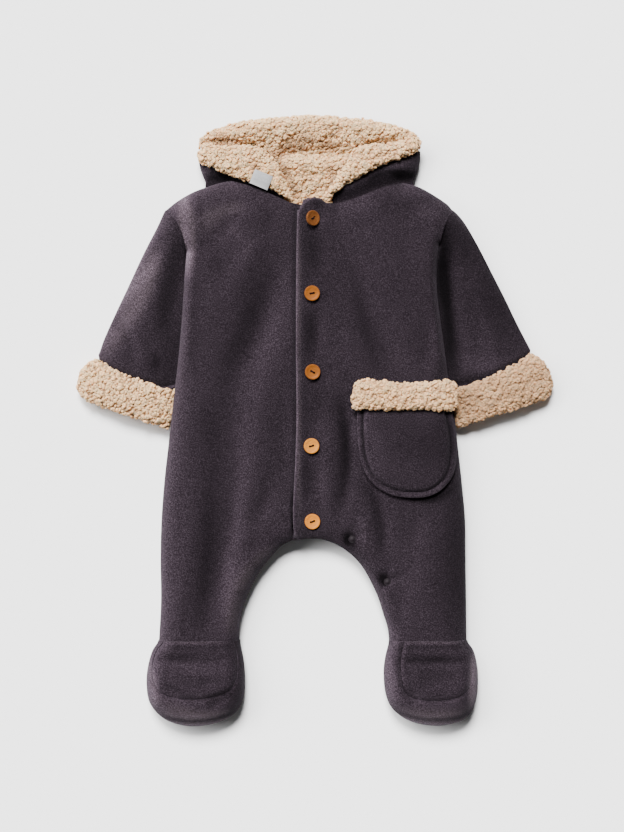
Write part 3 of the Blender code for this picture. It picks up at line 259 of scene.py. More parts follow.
# Painted light and shade on the fleece: depth is how much paler (painted light) or, below 0, darker (painted
# shade) the cloth is painted.
SHADE_AND_LIGHT_MARKS = {
    "front right": rows(
        Crease,
        (-131, 226, -127, 150, 0.02, 7, 2.20),
        (-112, 202, -66, 214, 0.06, 8, 0.70),
        (-118, 194, -92, 198, 0.0, 12, 0.40),
        (-88, 196, -72, 176, 0.1, 5, 0.30),
        (-122, 150, -128, 40, 0.0, 7, -0.15),
        (-56, 188, -76, 152, 0.0, 6, 0.28),
        (-52, 140, -88, 50, 0.02, 12, -0.34),
        (-97, 166, -100, 146, 0.0, 9, -0.18),
        (-34, 150, -44, 20, 0.0, 12, 0.06),
        (-104, 10, -100, -40, 0.0, 13, -0.28),
        (-104, -40, -117, -204, 0.02, 8, -0.46),
        (-62, -6, -78, -120, 0.0, 14, 0.12),
        (-84, -130, -92, -190, 0.0, 8, 0.20),
        (-30, -20, -36, -90, 0.0, 9, -0.12),
        (-22.5, -66, -22.5, -118, 0.0, 2.6, -0.75),
        (-34, -124, -62, -142, 0.0, 9, 0.70),
        (-62, -142, -77, -170, 0.0, 9, 0.80),
        (-77, -170, -85, -214, 0.0, 9, 0.70),
    ),
    "front left": rows(
        Crease,
        (66, 190, 70, -200, 0.0, 60, -0.07),
        (9, 190, 9, 130, 0.0, 8, -0.24),
        (-4, 192, -4, 150, 0.0, 6, -0.34),
        (-4, 112, -4, 60, 0.0, 6, -0.36),
        (10, 36, 10, -6, 0.0, 7, -0.30),
        (-9, -30, -9, -76, 0.0, 4.5, -0.30),
        (9, 150, 9, 20, 0.0, 9, -0.10),
        (-16, 206, -16, 40, 0.0, 3.2, 0.72),
        (-16, 60, -16, -116, 0.0, 3.2, 0.72),
        (22, 26, 25, -82, 0.07, 7.0, -0.70),
        (9, -12, 10, -102, 0.0, 5.5, 0.20),
        (38, 14, 41, -26, 0.0, 5.0, 0.30),
        (51, -60, 66, -134, 0.08, 6.5, -0.50),
        (45, -94, 52, -126, 0.0, 4.5, 0.32),
        (66, -80, 84, -206, 0.08, 13, 0.20),
        (36, 164, 62, 52, -0.02, 8, -0.36),
        (30, 96, 30, 52, 0.0, 7, 0.14),
        (82, 110, 82, 54, 0.0, 9, 0.14),
        (98, 210, 122, 207, 0.0, 7, 0.30),
        (58, 224, 106, 216, 0.0, 11, -0.26),
        (32, -114, 37, -122, 0.0, 4.6, -2.60),
        (66, -153, 70, -161, 0.0, 3.8, -2.30),
        (148, -60, 147, -212, 0.0, 30, -0.34),
        (88, -72, 138, -66, -0.16, 5, -0.70),
    ),
    "sleeve right": rows(
        Crease,
        (-142, 198, -145, 64, -0.06, 8, -0.16),
        (-156, 172, -194, 92, 0.0, 14, 1.30),
        (-196, 96, -214, 62, 0.0, 12, 0.60),
        (-159, 68, -160, 50, 0.0, 5, -0.55),
    ),
    "sleeve left": rows(
        Crease,
        (130, 208, 130, 120, -0.03, 8, -0.62),
        (129, 150, 138, 34, 0.0, 9, -0.72),
        (144, 200, 196, 66, 0.0, 34, -0.38),
        (148, 44, 164, 44, 0.0, 10, -0.25),
    ),
    "foot right": rows(
        Crease,
        (-168, -238, -160, -290, 0.10, 4, 0.60),
        (-110, -276, -76, -264, 0.0, 5.5, -0.50),
        (-150, -236, -120, -236, 0.0, 4.0, -0.22),
        (-146, -260, -114, -284, 0.0, 3.5, -0.22),
        (-167, -230, -165, -284, 0.0, 5, 0.40),
        (-158, -276, -96, -296, -0.06, 10, 0.60),
        (-152, -298.5, -78, -295.5, -0.075, 2.6, 3.20),
        (-150, -293, -82, -290, -0.085, 1.8, -0.90),
        (-148, -289, -84, -286, -0.09, 2.2, 0.90),
        (-150, -290, -84, -290, -0.06, 8, 0.60),
        (-156, -219.5, -82, -219.5, 0.0, 1.9, 0.50),
    ),
    "foot left": rows(
        Crease,
        (84, -236, 146, -236, 0.0, 4.0, -0.50),
        (80, -246, 150, -246, 0.0, 7.0, -0.28),
        (84, -262, 150, -268, 0.0, 16, -0.16),
        (73, -232, 78, -280, 0.0, 6, 0.40),
        (159, -232, 156, -282, 0.0, 4.0, 2.20),
        (84, -278, 150, -286, -0.10, 9, 0.35),
        (80, -294.5, 152, -297.5, -0.07, 2.6, 3.20),
        (82, -289, 152, -292, -0.085, 1.8, -0.40),
        (84, -285, 148, -287, -0.09, 2.2, 0.80),
        (84, -290, 150, -289, -0.05, 8, 0.50),
        (80, -219.5, 154, -219.5, 0.0, 1.9, 0.50),
    ),
    "pocket": rows(
        Crease,
        (90, 6, 90, -50, 0.0, 40, -0.08),
        (54, 0, 62, -54, 0.06, 8, 0.28),
        (124, 4, 118, -52, 0.0, 20, -0.26),
        (90, 0, 90, -40, 0.0, 20, -0.12),
    ),
    "hood": rows(
        Crease,
        (30, 226, 104, 256, 0.04, 22, -0.20),
        (74, 248.5, 103, 247, 0.0, 3.4, -0.80),
        (80, 244, 98, 243, 0.0, 3.6, -0.70),
        (52, 240, 76, 250, 0.05, 2.4, -0.60),
        (62, 254, 100, 262, 0.0, 4.5, 0.60),
        (-60, 222, -112, 250, 0.0, 14, -0.30),
    ),
}
SLEEVE_CREASES = {
    "right": rows(
        Crease,
        (-134, 186, -150, 84, 0.03, 10, 4.0),
        (-152, 190, -190, 96, 0.04, 15, -1.2),
        (-196, 98, -180, 60, 0.1, 7, 2.4),
        (-166, 96, -158, 44, 0.0, 10, 1.8),
        (-146, 184, -178, 140, 0.0, 8, 1.8),
        (-172, 128, -206, 92, 0.08, 8, 1.2),
    ),
    "left": rows(
        Crease,
        (127, 196, 140, 78, -0.03, 11, 4.4),
        (150, 186, 196, 92, 0.04, 16, -1.8),
        (150, 130, 170, 60, 0.05, 10, 2.0),
        (176, 122, 202, 74, -0.03, 9, 1.6),
        (141, 198, 164, 158, 0.0, 7, 1.4),
    ),
}
FOOT_CREASES = {
    "right": rows(
        Crease,
        (-162, -236.5, -124, -240.5, 0.03, 5.5, 2.2),
        (-134, -236, -84, -240, -0.04, 6.5, 1.4),
        (-150, -228, -96, -229, 0.0, 5.0, -0.8),
        (-152, -262, -132, -274, 0.0, 5.0, 2.2),
        (-104, -286, -80, -274, 0.1, 5.0, 1.8),
        (-146, -250, -96, -255, 0.0, 8.0, -0.8),
        (-120, -262, -84, -262, 0.03, 6.0, 1.0),
    ),
    "left": rows(
        Crease,
        (84, -238.5, 156, -238, -0.02, 5.5, 1.9),
        (90, -262, 104, -277, 0.0, 5.0, 2.2),
        (104, -258, 142, -259, 0.02, 7.0, 1.0),
        (150, -276, 160, -262, 0.0, 5.0, 1.8),
    ),
}
BACK_CREASES = rows(
    Crease,
    (-60, 180, -84, 20, 0.04, 16, 0.5),
    (50, 170, 70, 10, -0.04, 16, 0.5),
)

STUDS = rows(Point, (37, -117), (72, -159.5))

# ---- plan geometry ----


def xy(table):
    """The table's points as an array."""
    return np.array([(row.x, row.y) for row in table], float)


def unit(vectors):
    return vectors / np.linalg.norm(vectors, axis=1)[:, None]


def circle(count):
    """Points round a circle of radius 1."""
    angle = 2 * np.pi * np.arange(count) / count
    return np.column_stack([np.cos(angle), np.sin(angle)])


def smooth(points):
    """A Catmull-Rom curve through the points, finely stepped."""
    padded = np.vstack([2 * points[0] - points[1], points, 2 * points[-1] - points[-2]])
    fine = []
    for p0, p1, p2, p3 in zip(padded, padded[1:], padded[2:], padded[3:]):
        for t in np.linspace(0, 1, 16, endpoint=False):
            fine.append(0.5 * (2 * p1 + (p2 - p0) * t + (2 * p0 - 5 * p1 + 4 * p2 - p3) * t * t
                               + (3 * p1 - p0 - 3 * p2 + p3) * t ** 3))
    return np.vstack([fine, points[-1]])


def spaced(points, step):
    """Points about step apart along the line, ends kept."""
    points = np.asarray(points, float)
    run = np.concatenate([[0], np.cumsum(np.linalg.norm(np.diff(points, axis=0), axis=1))])
    stops = np.linspace(0, run[-1], max(2, int(round(run[-1] / step)) + 1))
    return np.column_stack([np.interp(stops, run, points[:, k]) for k in range(points.shape[1])])


def curve(table, step=FINE):
    return spaced(smooth(xy(table)), step)


def straight(a, b, step=FINE):
    return spaced(np.array([a, b], float), step)


def armhole(side, step=FINE):
    """The seam from the armpit up to the shoulder tip, bowed towards the body."""
    sign = 1 if side == "left" else -1
    pit = xy(LEFT_SIDE if side == "left" else RIGHT_SIDE)[-1]
    tip = xy(LEFT_SHOULDER if side == "left" else RIGHT_SHOULDER)[0]
    t = np.linspace(0, 1, int(np.linalg.norm(tip - pit) / step) + 1)[:, None]
    along = (tip - pit) / np.linalg.norm(tip - pit)
    inward = np.array([-along[1], along[0]]) * sign
    return pit + (tip - pit) * t + inward * ARMHOLE_BOW[side] * 4 * t * (1 - t)


def distance_to(line, at):
    """Plan distance from every point of at to the polyline."""
    best = np.full(len(at), np.inf)
    for a, b in zip(line, line[1:]):
        along = b - a
        t = np.clip((at - a) @ along / max(along @ along, 1e-9), 0, 1)
        off = at - a - t[:, None] * along
        best = np.minimum(best, off[:, 0] ** 2 + off[:, 1] ** 2)
    return np.sqrt(best)


def distance_to_any(lines, at):
    """Plan distance to the nearest of the lines."""
    return np.min([distance_to(line, at) for line in lines], axis=0)


def inside(loop, at):
    """Which points of at lie inside the closed loop."""
    found = np.zeros(len(at), bool)
    for (ax, ay), (bx, by) in zip(loop, np.roll(loop, -1, axis=0)):
        if ay != by:
            crosses = (ay > at[:, 1]) != (by > at[:, 1])
            found ^= crosses & (at[:, 0] < (bx - ax) * (at[:, 1] - ay) / (by - ay) + ax)
    return found


def dome(distance, reach):
    """0 at an edge and 1 from reach inward, as a quarter of an ellipse."""
    left = 1 - np.clip(distance / reach, 0, 1)
    return np.sqrt(np.maximum(0, 1 - left ** 2))


def ease(value):
    """From 0 to 1 with a soft start and end, as the value does so evenly."""
    value = np.clip(value, 0, 1)
    return value * value * (3 - 2 * value)


def soft_step(value, start, end):
    """0 up to the start and 1 from the end on, which may lie below it."""
    return ease((value - start) / (end - start))


def bell(distance, width):
    """1 at no distance, falling off over the width."""
    return np.exp(-(distance / width) ** 2)


def relief(creases, at):
    """Summed depth of the creases: soft across, bowed along, and fading towards both ends."""
    total = np.zeros(len(at))
    for c in creases:
        start = np.array([c.x0, c.y0])
        along = np.array([c.x1, c.y1]) - start
        length = np.linalg.norm(along)
        along = along / length
        run = (at - start) @ along / length
        t = np.clip(run, 0, 1)
        side = (at - start) @ np.array([-along[1], along[0]]) - c.bow * length * 4 * t * (1 - t)
        beyond = (run - t) * length
        fade = 0.3 + 0.7 * np.sin(np.pi * t) ** 0.8
        total += c.depth * fade * np.exp(-(side ** 2 + beyond ** 2) / c.width ** 2)
    return total


CELLS = 64  # the random tables repeat after this many cells
CELL_OFFSET = 512.37  # keeps the cells' corners off the axes


def lumps(at, size, seed):
    """Smooth random unevenness, about -1 to 1, with features of about the given size."""
    table = np.random.default_rng(seed).uniform(-1, 1, (CELLS, CELLS))
    cell = at / size + CELL_OFFSET
    whole = np.floor(cell).astype(int)
    part = ease(cell - whole)
    i, j = whole[:, 0] % CELLS, whole[:, 1] % CELLS
    i1, j1 = (i + 1) % CELLS, (j + 1) % CELLS
    low = table[i, j] * (1 - part[:, 0]) + table[i1, j] * part[:, 0]
    high = table[i, j1] * (1 - part[:, 0]) + table[i1, j1] * part[:, 0]
    return low * (1 - part[:, 1]) + high * part[:, 1]


LUMPS = {  # height, size and seed of each layer of unevenness
    "body": ((0.55, 38, 1), (0.16, 11, 2)),
    "sleeve right": ((0.5, 34, 4), (0.14, 10, 8)),
    "sleeve left": ((0.5, 34, 3), (0.14, 10, 7)),
    "foot": ((0.5, 22, 40), (0.15, 8, 41)),
    "pocket": ((0.25, 15, 50),),
    "hood floor": ((1.1, 9, 30),),
    "lapel": ((0.9, 9, 31),),
    "neck": ((0.3, 10, 33),),
}


def uneven(cloth, at):
    """The summed layers of this cloth's unevenness."""
    return sum(height * lumps(at, size, seed) for height, size, seed in LUMPS[cloth])


def set_back(line, by):
    """The line moved to its right-hand side."""
    ahead = unit(np.gradient(line, axis=0))
    return line + by * np.column_stack([ahead[:, 1], -ahead[:, 0]])


# ---- meshes ----

EDGE_ROWS = (0.3, 1.0, 2.1, 3.7)  # rows of points that follow an edge, by their distance from it
ROW_CLEAR = 0.93  # share of that distance that a row's points keep from every edge
POINT_GAP = 0.55  # least gap between points, as a share of their spacing
Edge = namedtuple("Edge", "line closing")


def closing(line):
    """An edge where the panel turns down, or up, to a seam."""
    return Edge(line, True)


def free(line):
    """An edge where the panel ends at its full height."""
    return Edge(line, False)


def loop_of(edges):
    """The edges as one counter-clockwise loop, which of its points close, and their outward normals."""
    points = np.vstack([edge.line[:-1] for edge in edges])
    closes = np.concatenate([np.full(len(edge.line) - 1, edge.closing) for edge in edges])
    starts = np.cumsum([0] + [len(edge.line) - 1 for edge in edges[:-1]])
    for start, edge, before in zip(starts, edges, [edges[-1]] + edges[:-1]):
        closes[start] = edge.closing or before.closing
    area = np.sum(points[:, 0] * np.roll(points[:, 1], -1) - np.roll(points[:, 0], -1) * points[:, 1])
    if area < 0:
        points, closes = points[::-1], closes[::-1]
    ahead = unit(np.roll(points, -1, axis=0) - points)
    mean = unit(ahead + np.roll(ahead, 1, axis=0))
    return points, closes, np.column_stack([mean[:, 1], -mean[:, 0]])


def thinned(points, gap):
    """Which points to keep, so that each is over gap away from every one kept before it."""
    steps = list(itertools.product((-1, 0, 1), repeat=points.shape[1]))
    cells, kept = {}, []
    for i, point in enumerate(points):
        cell = [int(part) for part in np.floor(point / gap)]
        around = [tuple(map(sum, zip(cell, step))) for step in steps]
        near = [other for key in around for other in cells.get(key, ())]
        if all(sum((point - other) ** 2) > gap * gap for other in near):
            cells.setdefault(tuple(cell), []).append(point)
            kept.append(i)
    return kept


def filling(loop, outward, spacing):
    """Points inside the loop: rows that follow its edge, and an even field further in."""
    ring = np.vstack([loop, loop[:1]])
    found = []
    for inset in EDGE_ROWS:
        row = loop - outward * inset
        row = row[inside(loop, row)]
        row = row[distance_to(ring, row) > ROW_CLEAR * inset]
        found.append(row[thinned(row, POINT_GAP * min(spacing, 2.5 * inset + 0.4))])
    low, high = loop.min(axis=0), loop.max(axis=0)
    field = []
    for i, y in enumerate(np.arange(low[1] + 0.5 * spacing, high[1], spacing * 0.866)):
        x = np.arange(low[0] + spacing * (0.5 if i % 2 else 1.0), high[0], spacing)
        field.append(np.column_stack([x, np.full(len(x), y)]))
    field = np.vstack(field)
    field = field[inside(loop, field)]
    clear = EDGE_ROWS[-1] + POINT_GAP * spacing
    found.append(field[distance_to(ring, field) > clear])
    return np.vstack(found)


def triangles_in(loop, more, holes=()):
    """Counter-clockwise triangles filling the loop, less the holes, over all the points."""
    points = np.vstack([loop, *holes, more])
    bounds, start = [], 0
    for ring in (loop, *holes):
        bounds += [(start + i, start + (i + 1) % len(ring)) for i in range(len(ring))]
        start += len(ring)
    made = delaunay_2d_cdt([tuple(p) for p in points], bounds, [], 0, 1e-6)
    points = np.array([(p.x, p.y) for p in made[0]])
    faces = np.array(made[2])
    centres = points[faces].mean(axis=1)
    wanted = inside(loop, centres)
    for hole in holes:
        wanted &= ~inside(hole, centres)
    faces = faces[wanted]
    a, b, c = points[faces[:, 0]], points[faces[:, 1]], points[faces[:, 2]]
    turn = (b[:, 0] - a[:, 0]) * (c[:, 1] - a[:, 1]) - (b[:, 1] - a[:, 1]) * (c[:, 0] - a[:, 0])
    faces[turn < 0] = faces[turn < 0][:, ::-1]
    return points, faces


DARKEST_MARK = -0.8  # below this the painted shade marks don't darken further


def add_mesh(name, points, faces, looks, slot, sharp=55.0, place=None):
    """A piece from triangles, riding on the body, with its material; a fleece slot also gives it its tables'
    painted shade and light marks.
    """
    mesh = bpy.data.meshes.new(name)
    faces = np.asarray(faces, np.int32)
    mesh.vertices.add(len(points))
    mesh.vertices.foreach_set("co", (np.asarray(points) * MM).astype(np.float32).ravel())
    mesh.loops.add(faces.size)
    mesh.loops.foreach_set("vertex_index", faces.ravel())
    mesh.polygons.add(len(faces))
    mesh.polygons.foreach_set("loop_start", np.arange(0, faces.size, 3, dtype=np.int32))
    mesh.update(calc_edges=True)
    mesh.validate()
    mesh.shade_smooth()
    mesh.set_sharp_from_angle(angle=math.radians(sharp))
    mesh.materials.append(looks)
    if slot == "fleece":
        # the painted light and shade marks of this piece's tables, kept for the fleece material
        words = set(name.split("_"))
        shade_and_light = [table for key, table in SHADE_AND_LIGHT_MARKS.items() if words.issuperset(key.split())]
        marks = relief(sum(shade_and_light, []), np.asarray(points)[:, :2])
        add_attribute(mesh, "shade_and_light", np.maximum(marks, DARKEST_MARK))
    obj = bpy.data.objects.new(name, mesh)
    bpy.context.scene.collection.objects.link(obj)
    if place:
        obj.matrix_world = place
    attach(obj, "root")
    return obj


def set_values(attribute, values):
    attribute.data.foreach_set("value", np.asarray(values, np.float32))


def add_attribute(mesh, name, values):
    """A number for every point, which a material reads by its name."""
    set_values(mesh.attributes.new(name, "FLOAT", "POINT"), values)


def shell_faces(count, faces):
    """The triangles of a closed body whose upper and lower points share one plan."""
    edges = np.vstack([faces[:, [0, 1]], faces[:, [1, 2]], faces[:, [2, 0]]])
    keys = edges[:, 0] * count + edges[:, 1]
    rim = edges[~np.isin(keys, edges[:, 1] * count + edges[:, 0])]
    walls = np.vstack([np.column_stack([rim[:, 1], rim[:, 0], rim[:, 0] + count]),
                       np.column_stack([rim[:, 1], rim[:, 0] + count, rim[:, 1] + count])])
    return np.vstack([faces, faces[:, ::-1] + count, walls])


def band_faces(rings):
    """Triangles that join each ring of points, given by their indices, to the next."""
    found = []
    for here, there in zip(rings, rings[1:]):
        found += [np.column_stack([here, np.roll(here, -1), np.roll(there, -1)]),
                  np.column_stack([here, np.roll(there, -1), there])]
    return np.vstack(found)


def facing_out(points, faces):
    """The closed mesh's faces, turned round if they face in."""
    a, b, c = (points[faces[:, i]] for i in range(3))
    return faces[:, ::-1] if np.sum(a * np.cross(b, c)) < 0 else faces


def rope(spine, thick, sides, level=(0, 0, 1), poke=0.0):
    """The points of a strand along the spine, their rings, and the caps at its ends, which poke out."""
    ahead = unit(np.gradient(spine, axis=0))
    aside = unit(np.cross(ahead, level))
    above = np.cross(aside, ahead)
    points = [centre + radius * circle(sides) @ np.vstack([u, v])
              for centre, radius, u, v in zip(spine, thick, aside, above)]
    points = np.vstack(points + [spine[:1] - poke * ahead[:1], spine[-1:] + poke * ahead[-1:]])
    first, last = len(points) - 2, len(points) - 1
    rings = [i * sides + np.arange(sides) for i in range(len(spine))]
    caps = [np.column_stack([np.roll(rings[0], -1), rings[0], np.full(sides, first)]),
            np.column_stack([rings[-1], np.roll(rings[-1], -1), np.full(sides, last)])]
    return points, rings, np.vstack(caps)


def slopes(height, at):
    """How steeply the surface rises towards +X and +Y."""
    step = 0.4
    return [(height(at + offset) - height(at - offset)) / (2 * step)
            for offset in (np.array([step, 0]), np.array([0, step]))]


def normals_of(height, at):
    slope_x, slope_y = slopes(height, at)
    return unit(np.column_stack([-slope_x, -slope_y, np.ones(len(at))]))


def panel(name, edges, height, wall=WALL, faces_up=True, spacing=FINE):
    """Fleece of one thickness whose outer face is height over the plan outline."""
    loop, closes, outward = loop_of(edges)
    plan, faces = triangles_in(loop, filling(loop, outward, spacing))
    normal = normals_of(height, plan) * (1 if faces_up else -1)
    at_seam = np.flatnonzero(closes)
    normal[at_seam, :2], normal[at_seam, 2] = outward[at_seam], 0
    outer = np.column_stack([plan, height(plan)])
    inner = outer - wall * normal
    upper, lower = (outer, inner) if faces_up else (inner, outer)
    return add_mesh(name, np.vstack([upper, lower]), shell_faces(len(plan), faces), FLEECE, "fleece")


BASE_REACH = 0.3  # how pale the pile's ground is between its curls: kept low as painted shade


def pad(name, edges, bottom, top):
    """The ground of the pile between two height functions."""
    loop, _, outward = loop_of(edges)
    plan, faces = triangles_in(loop, filling(loop, outward, FINE))
    points = np.vstack([np.column_stack([plan, top(plan)]), np.column_stack([plan, bottom(plan)])])
    made = add_mesh(name, points, shell_faces(len(plan), faces), PILE_LOOKS, "pile")
    # the ground's painted shade
    add_attribute(made.data, "reach", np.full(len(points), BASE_REACH))
    return made


# ---- materials ----


class Shader:
    """A Principled material with short calls for the nodes that feed it."""

    def __init__(self, name, roughness, sheen=0.0, sheen_tint=(1, 1, 1), specular=0.5):
        self.material = bpy.data.materials.new(name)
        self.material.use_nodes = True
        self.tree = self.material.node_tree
        self.main = self.tree.nodes["Principled BSDF"]
        self.set("Roughness", roughness)
        self.set("Metallic", 0.0)
        self.set("Specular IOR Level", specular)
        self.set("Sheen Weight", sheen)
        self.set("Sheen Roughness", 0.5)
        self.set("Sheen Tint", (*sheen_tint, 1))
        self.where = self.node("ShaderNodeTexCoord").outputs["Object"]

    def set(self, socket, value):
        self.main.inputs[socket].default_value = value

    def node(self, kind, **inputs):
        made = self.tree.nodes.new(kind)
        for key, value in inputs.items():
            made.inputs[key].default_value = value
        return made

    def feed(self, value, socket):
        """Links a node's output to the socket, or sets the socket to a plain value."""
        if isinstance(value, bpy.types.NodeSocket):
            self.tree.links.new(value, socket)
        else:
            socket.default_value = value

    def noise(self, scale, detail=3.0, roughness=0.55, distortion=0.0, stretch=(1, 1, 1)):
        place = self.node("ShaderNodeMapping", Scale=stretch)
        self.feed(self.where, place.inputs["Vector"])
        made = self.node("ShaderNodeTexNoise", Scale=scale, Detail=detail, Roughness=roughness,
                         Distortion=distortion)
        self.feed(place.outputs["Vector"], made.inputs["Vector"])
        return made.outputs["Fac"]

    def ramp(self, factor, *stops):
        made = self.node("ShaderNodeValToRGB")
        elements = made.color_ramp.elements
        for _ in stops[2:]:
            elements.new(0.5)
        for element, (position, colour) in zip(elements, stops):
            element.position = position
            element.color = (*colour, 1)
        self.feed(factor, made.inputs["Fac"])
        return made.outputs["Color"]

    def mix(self, factor, a, b, blend="MIX"):
        made = self.node("ShaderNodeMix")
        made.data_type = "RGBA"
        made.blend_type = blend
        for value, socket in ((factor, 0), (a, 6), (b, 7)):  # the colour mix's own sockets
            self.feed(value, made.inputs[socket])
        return made.outputs[2]

    def maths(self, operation, *values):
        made = self.node("ShaderNodeMath")
        made.operation = operation
        for value, socket in zip(values, made.inputs):
            self.feed(value, socket)
        return made.outputs[0]

    def attribute(self, name):
        made = self.node("ShaderNodeAttribute")
        made.attribute_name = name
        return made.outputs["Fac"]

    def facing(self, way):
        """How far the surface looks the way of the direction, from -1 to 1."""
        made = self.node("ShaderNodeVectorMath")
        made.operation = "DOT_PRODUCT"
        self.feed(self.node("ShaderNodeNewGeometry").outputs["Normal"], made.inputs[0])
        self.feed(way, made.inputs[1])
        return made.outputs["Value"]

    def scaled(self, colour, factor):
        made = self.node("ShaderNodeVectorMath")
        made.operation = "SCALE"
        self.feed(colour, made.inputs[0])
        self.feed(factor, made.inputs["Scale"])
        return made.outputs["Vector"]

    def bump(self, height, distance, strength=1.0):
        made = self.node("ShaderNodeBump", Strength=strength, Distance=distance)
        self.feed(height, made.inputs["Height"])
        self.feed(made.outputs["Normal"], self.main.inputs["Normal"])

    def colour(self, value):
        self.feed(value, self.main.inputs["Base Color"])


FLEECE_TONES = (  # stops of the grain's noise, from the nap's gaps to its tips
    (0.36, (0.0031, 0.0019, 0.0029)), (0.5, (0.0107, 0.0074, 0.0101)), (0.64, (0.0302, 0.0226, 0.0288)),
)
PAINTED_LIGHT_FROM = (-0.86, 0.50, 0.0)  # painted light: cloth that tilts this way, towards the lamps, is painted paler, and cloth that tilts away is painted darker
PAINTED_LIGHT_TONES = ((0.18, 0.25), (0.36, 0.30), (0.5, 0.40), (0.62, 0.53), (0.80, 0.86))
PAINTED_LIGHT_GAIN = 2.5  # brings the level cloth's tone of 0.40 back to 1
BLACK = (0, 0, 0)
PAINTED_HIGHLIGHT = (0.0060, 0.0052, 0.0038)  # painted highlight that the palest marks add: greyer than the cloth
# the fleece's sheen, scaled by the painted shade and highlight marks, up to MOST_SHEEN times
FLEECE_SHEEN, SHEEN_TINT, MOST_SHEEN = 0.16, (0.36, 0.30, 0.36), 5.0


def make_fleece():
    """Brushed polar fleece: matt and finely speckled. Painted light makes it paler where it tilts towards the
    lamps and darker where it tilts away. Painted shade and highlight marks scale its colour and its sheen.
    """
    s = Shader("fleece", roughness=0.95, sheen=FLEECE_SHEEN, sheen_tint=SHEEN_TINT, specular=0.05)
    base = s.ramp(s.noise(940, detail=2, roughness=0.85), *FLEECE_TONES)
    # painted light: the tone follows how far the cloth faces the lamps
    tilt = s.maths("MULTIPLY_ADD", s.facing(PAINTED_LIGHT_FROM), 0.5, 0.5)
    tone = s.ramp(tilt, *[(at, (PAINTED_LIGHT_GAIN * grey,) * 3) for at, grey in PAINTED_LIGHT_TONES])
    # painted shade and light marks: they scale the colour and the sheen and add a painted highlight
    shade_and_light = s.attribute("shade_and_light")
    share = s.maths("ADD", shade_and_light, 1.0)
    laid = s.scaled(s.mix(1.0, base, tone, "MULTIPLY"), share)
    sheen = s.maths("MULTIPLY", s.maths("MINIMUM", share, MOST_SHEEN), FLEECE_SHEEN)
    s.feed(sheen, s.main.inputs["Sheen Weight"])
    s.colour(s.mix(1.0, laid, s.ramp(shade_and_light, (0.2, BLACK), (1.0, PAINTED_HIGHLIGHT)), "ADD"))
    fine_tufts = s.maths("MULTIPLY", s.noise(1100, detail=2), 0.4)
    s.bump(s.maths("ADD", s.noise(380, detail=5, roughness=0.8), fine_tufts), distance=0.0013)
    return s.material


# the pile's tones from its depths to its tips: the depths are painted darker and browner as painted shade
PILE_DEEP, PILE_MID, PILE_TIP = (0.40, 0.228, 0.120), (0.59, 0.340, 0.176), (0.75, 0.462, 0.248)
CREVICE = 0.62  # how dark the pile's ground is, as a share of its deep tone: painted shade


def make_pile():
    """Sherpa pile, painted darker and browner in its depths as painted shade. The curls carry how far out
    each point is, lowered further by painted shade.
    """
    s = Shader("pile", roughness=0.9, sheen=0.14, sheen_tint=(1.0, 0.88, 0.72), specular=0.05)
    crevice = [CREVICE * part for part in PILE_DEEP]
    # painted shade: the lower a point lies, the darker its tone
    tone = s.ramp(s.attribute("reach"), (0.0, crevice), (0.22, PILE_DEEP), (0.5, PILE_MID), (1.0, PILE_TIP))
    patches = s.ramp(s.noise(70, detail=2), (0.35, BLACK), (0.75, (0.35, 0.35, 0.35)))
    s.colour(s.mix(patches, tone, (*PILE_MID, 1)))
    s.set("Subsurface Weight", 0.55)
    s.set("Subsurface Radius", (0.0030, 0.0021, 0.0014))
    s.set("Subsurface Scale", 1.0)
    fine_fuzz = s.maths("MULTIPLY", s.noise(1500, detail=2), 0.5)
    fuzz = s.maths("ADD", s.noise(620, detail=4, roughness=0.75, distortion=0.8), fine_fuzz)
    s.bump(fuzz, distance=0.0011)
    return s.material


FLEECE, PILE_LOOKS = make_fleece(), make_pile()

# ---- the body ----


def body_closing_lines():
    """The lines where the fronts meet the back: sides and shoulders first, then inside the legs."""
    closed = (RIGHT_SIDE, LEFT_SIDE, RIGHT_SHOULDER, LEFT_SHOULDER, RIGHT_INNER, LEFT_INNER)
    crotch = np.array([xy(RIGHT_INNER)[-1], xy(PLACKET)[-1]])
    return [curve(table, 4) for table in closed] + [crotch]


BODY_CLOSING = body_closing_lines()
ARMHOLES = [armhole(side, 4) for side in ARMHOLE_BOW]
SEAM_VALLEY, SEAM_VALLEY_WIDTH = 1.3, 4.5
CROTCH, CROTCH_LIFT, CROTCH_REACH = np.array([-4.0, -117.0]), 9.0, 36.0
NECK_LINES = [curve(RIGHT_NECK, 4), curve(LEFT_NECK, 4)]
PLACKET_LINE = curve(PLACKET, 4)
BUTTON_SPOTS = [0.5 * (np.array(low) + np.array(high))[:2] / MM
                for low, high in (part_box(f"button_{i}") for i in range(1, 6))]
LAP_RISE, LAP_FALL, LAP_ROLL, LAP_ROLL_REACH = 2.8, 8.0, 2.2, 2.6
Dimple = namedtuple("Dimple", "middle depth width")
DIMPLES = [Dimple(spot, 0.8, 9.0) for spot in BUTTON_SPOTS]
DIMPLES += [Dimple(np.array(stud), 1.5, 6.5) for stud in STUDS]
BESIDE_LOW, BESIDE_HIGH = (30, 70), (210, 176)  # Y over which the sharp sides beside the sleeves begin


def seam_z(at):
    """The side seams lie low, and the seam at the crotch stands clear of the floor."""
    return SEAM_Z + CROTCH_LIFT * bell(np.linalg.norm(at - CROTCH, axis=1), CROTCH_REACH)


def body_rounding(at):
    """0 at the seams and 1 inside: the sides turn down sharply where the sleeves meet them."""
    beside = soft_step(at[:, 1], *BESIDE_LOW) * soft_step(at[:, 1], *BESIDE_HIGH)
    sharp = np.where(at[:, 0] > 0, BESIDE_REACH["left"], BESIDE_REACH["right"])
    outside = dome(distance_to_any(BODY_CLOSING[:4], at), BODY_REACH + (sharp - BODY_REACH) * beside)
    return np.minimum(outside, dome(distance_to_any(BODY_CLOSING[4:], at), INNER_REACH))


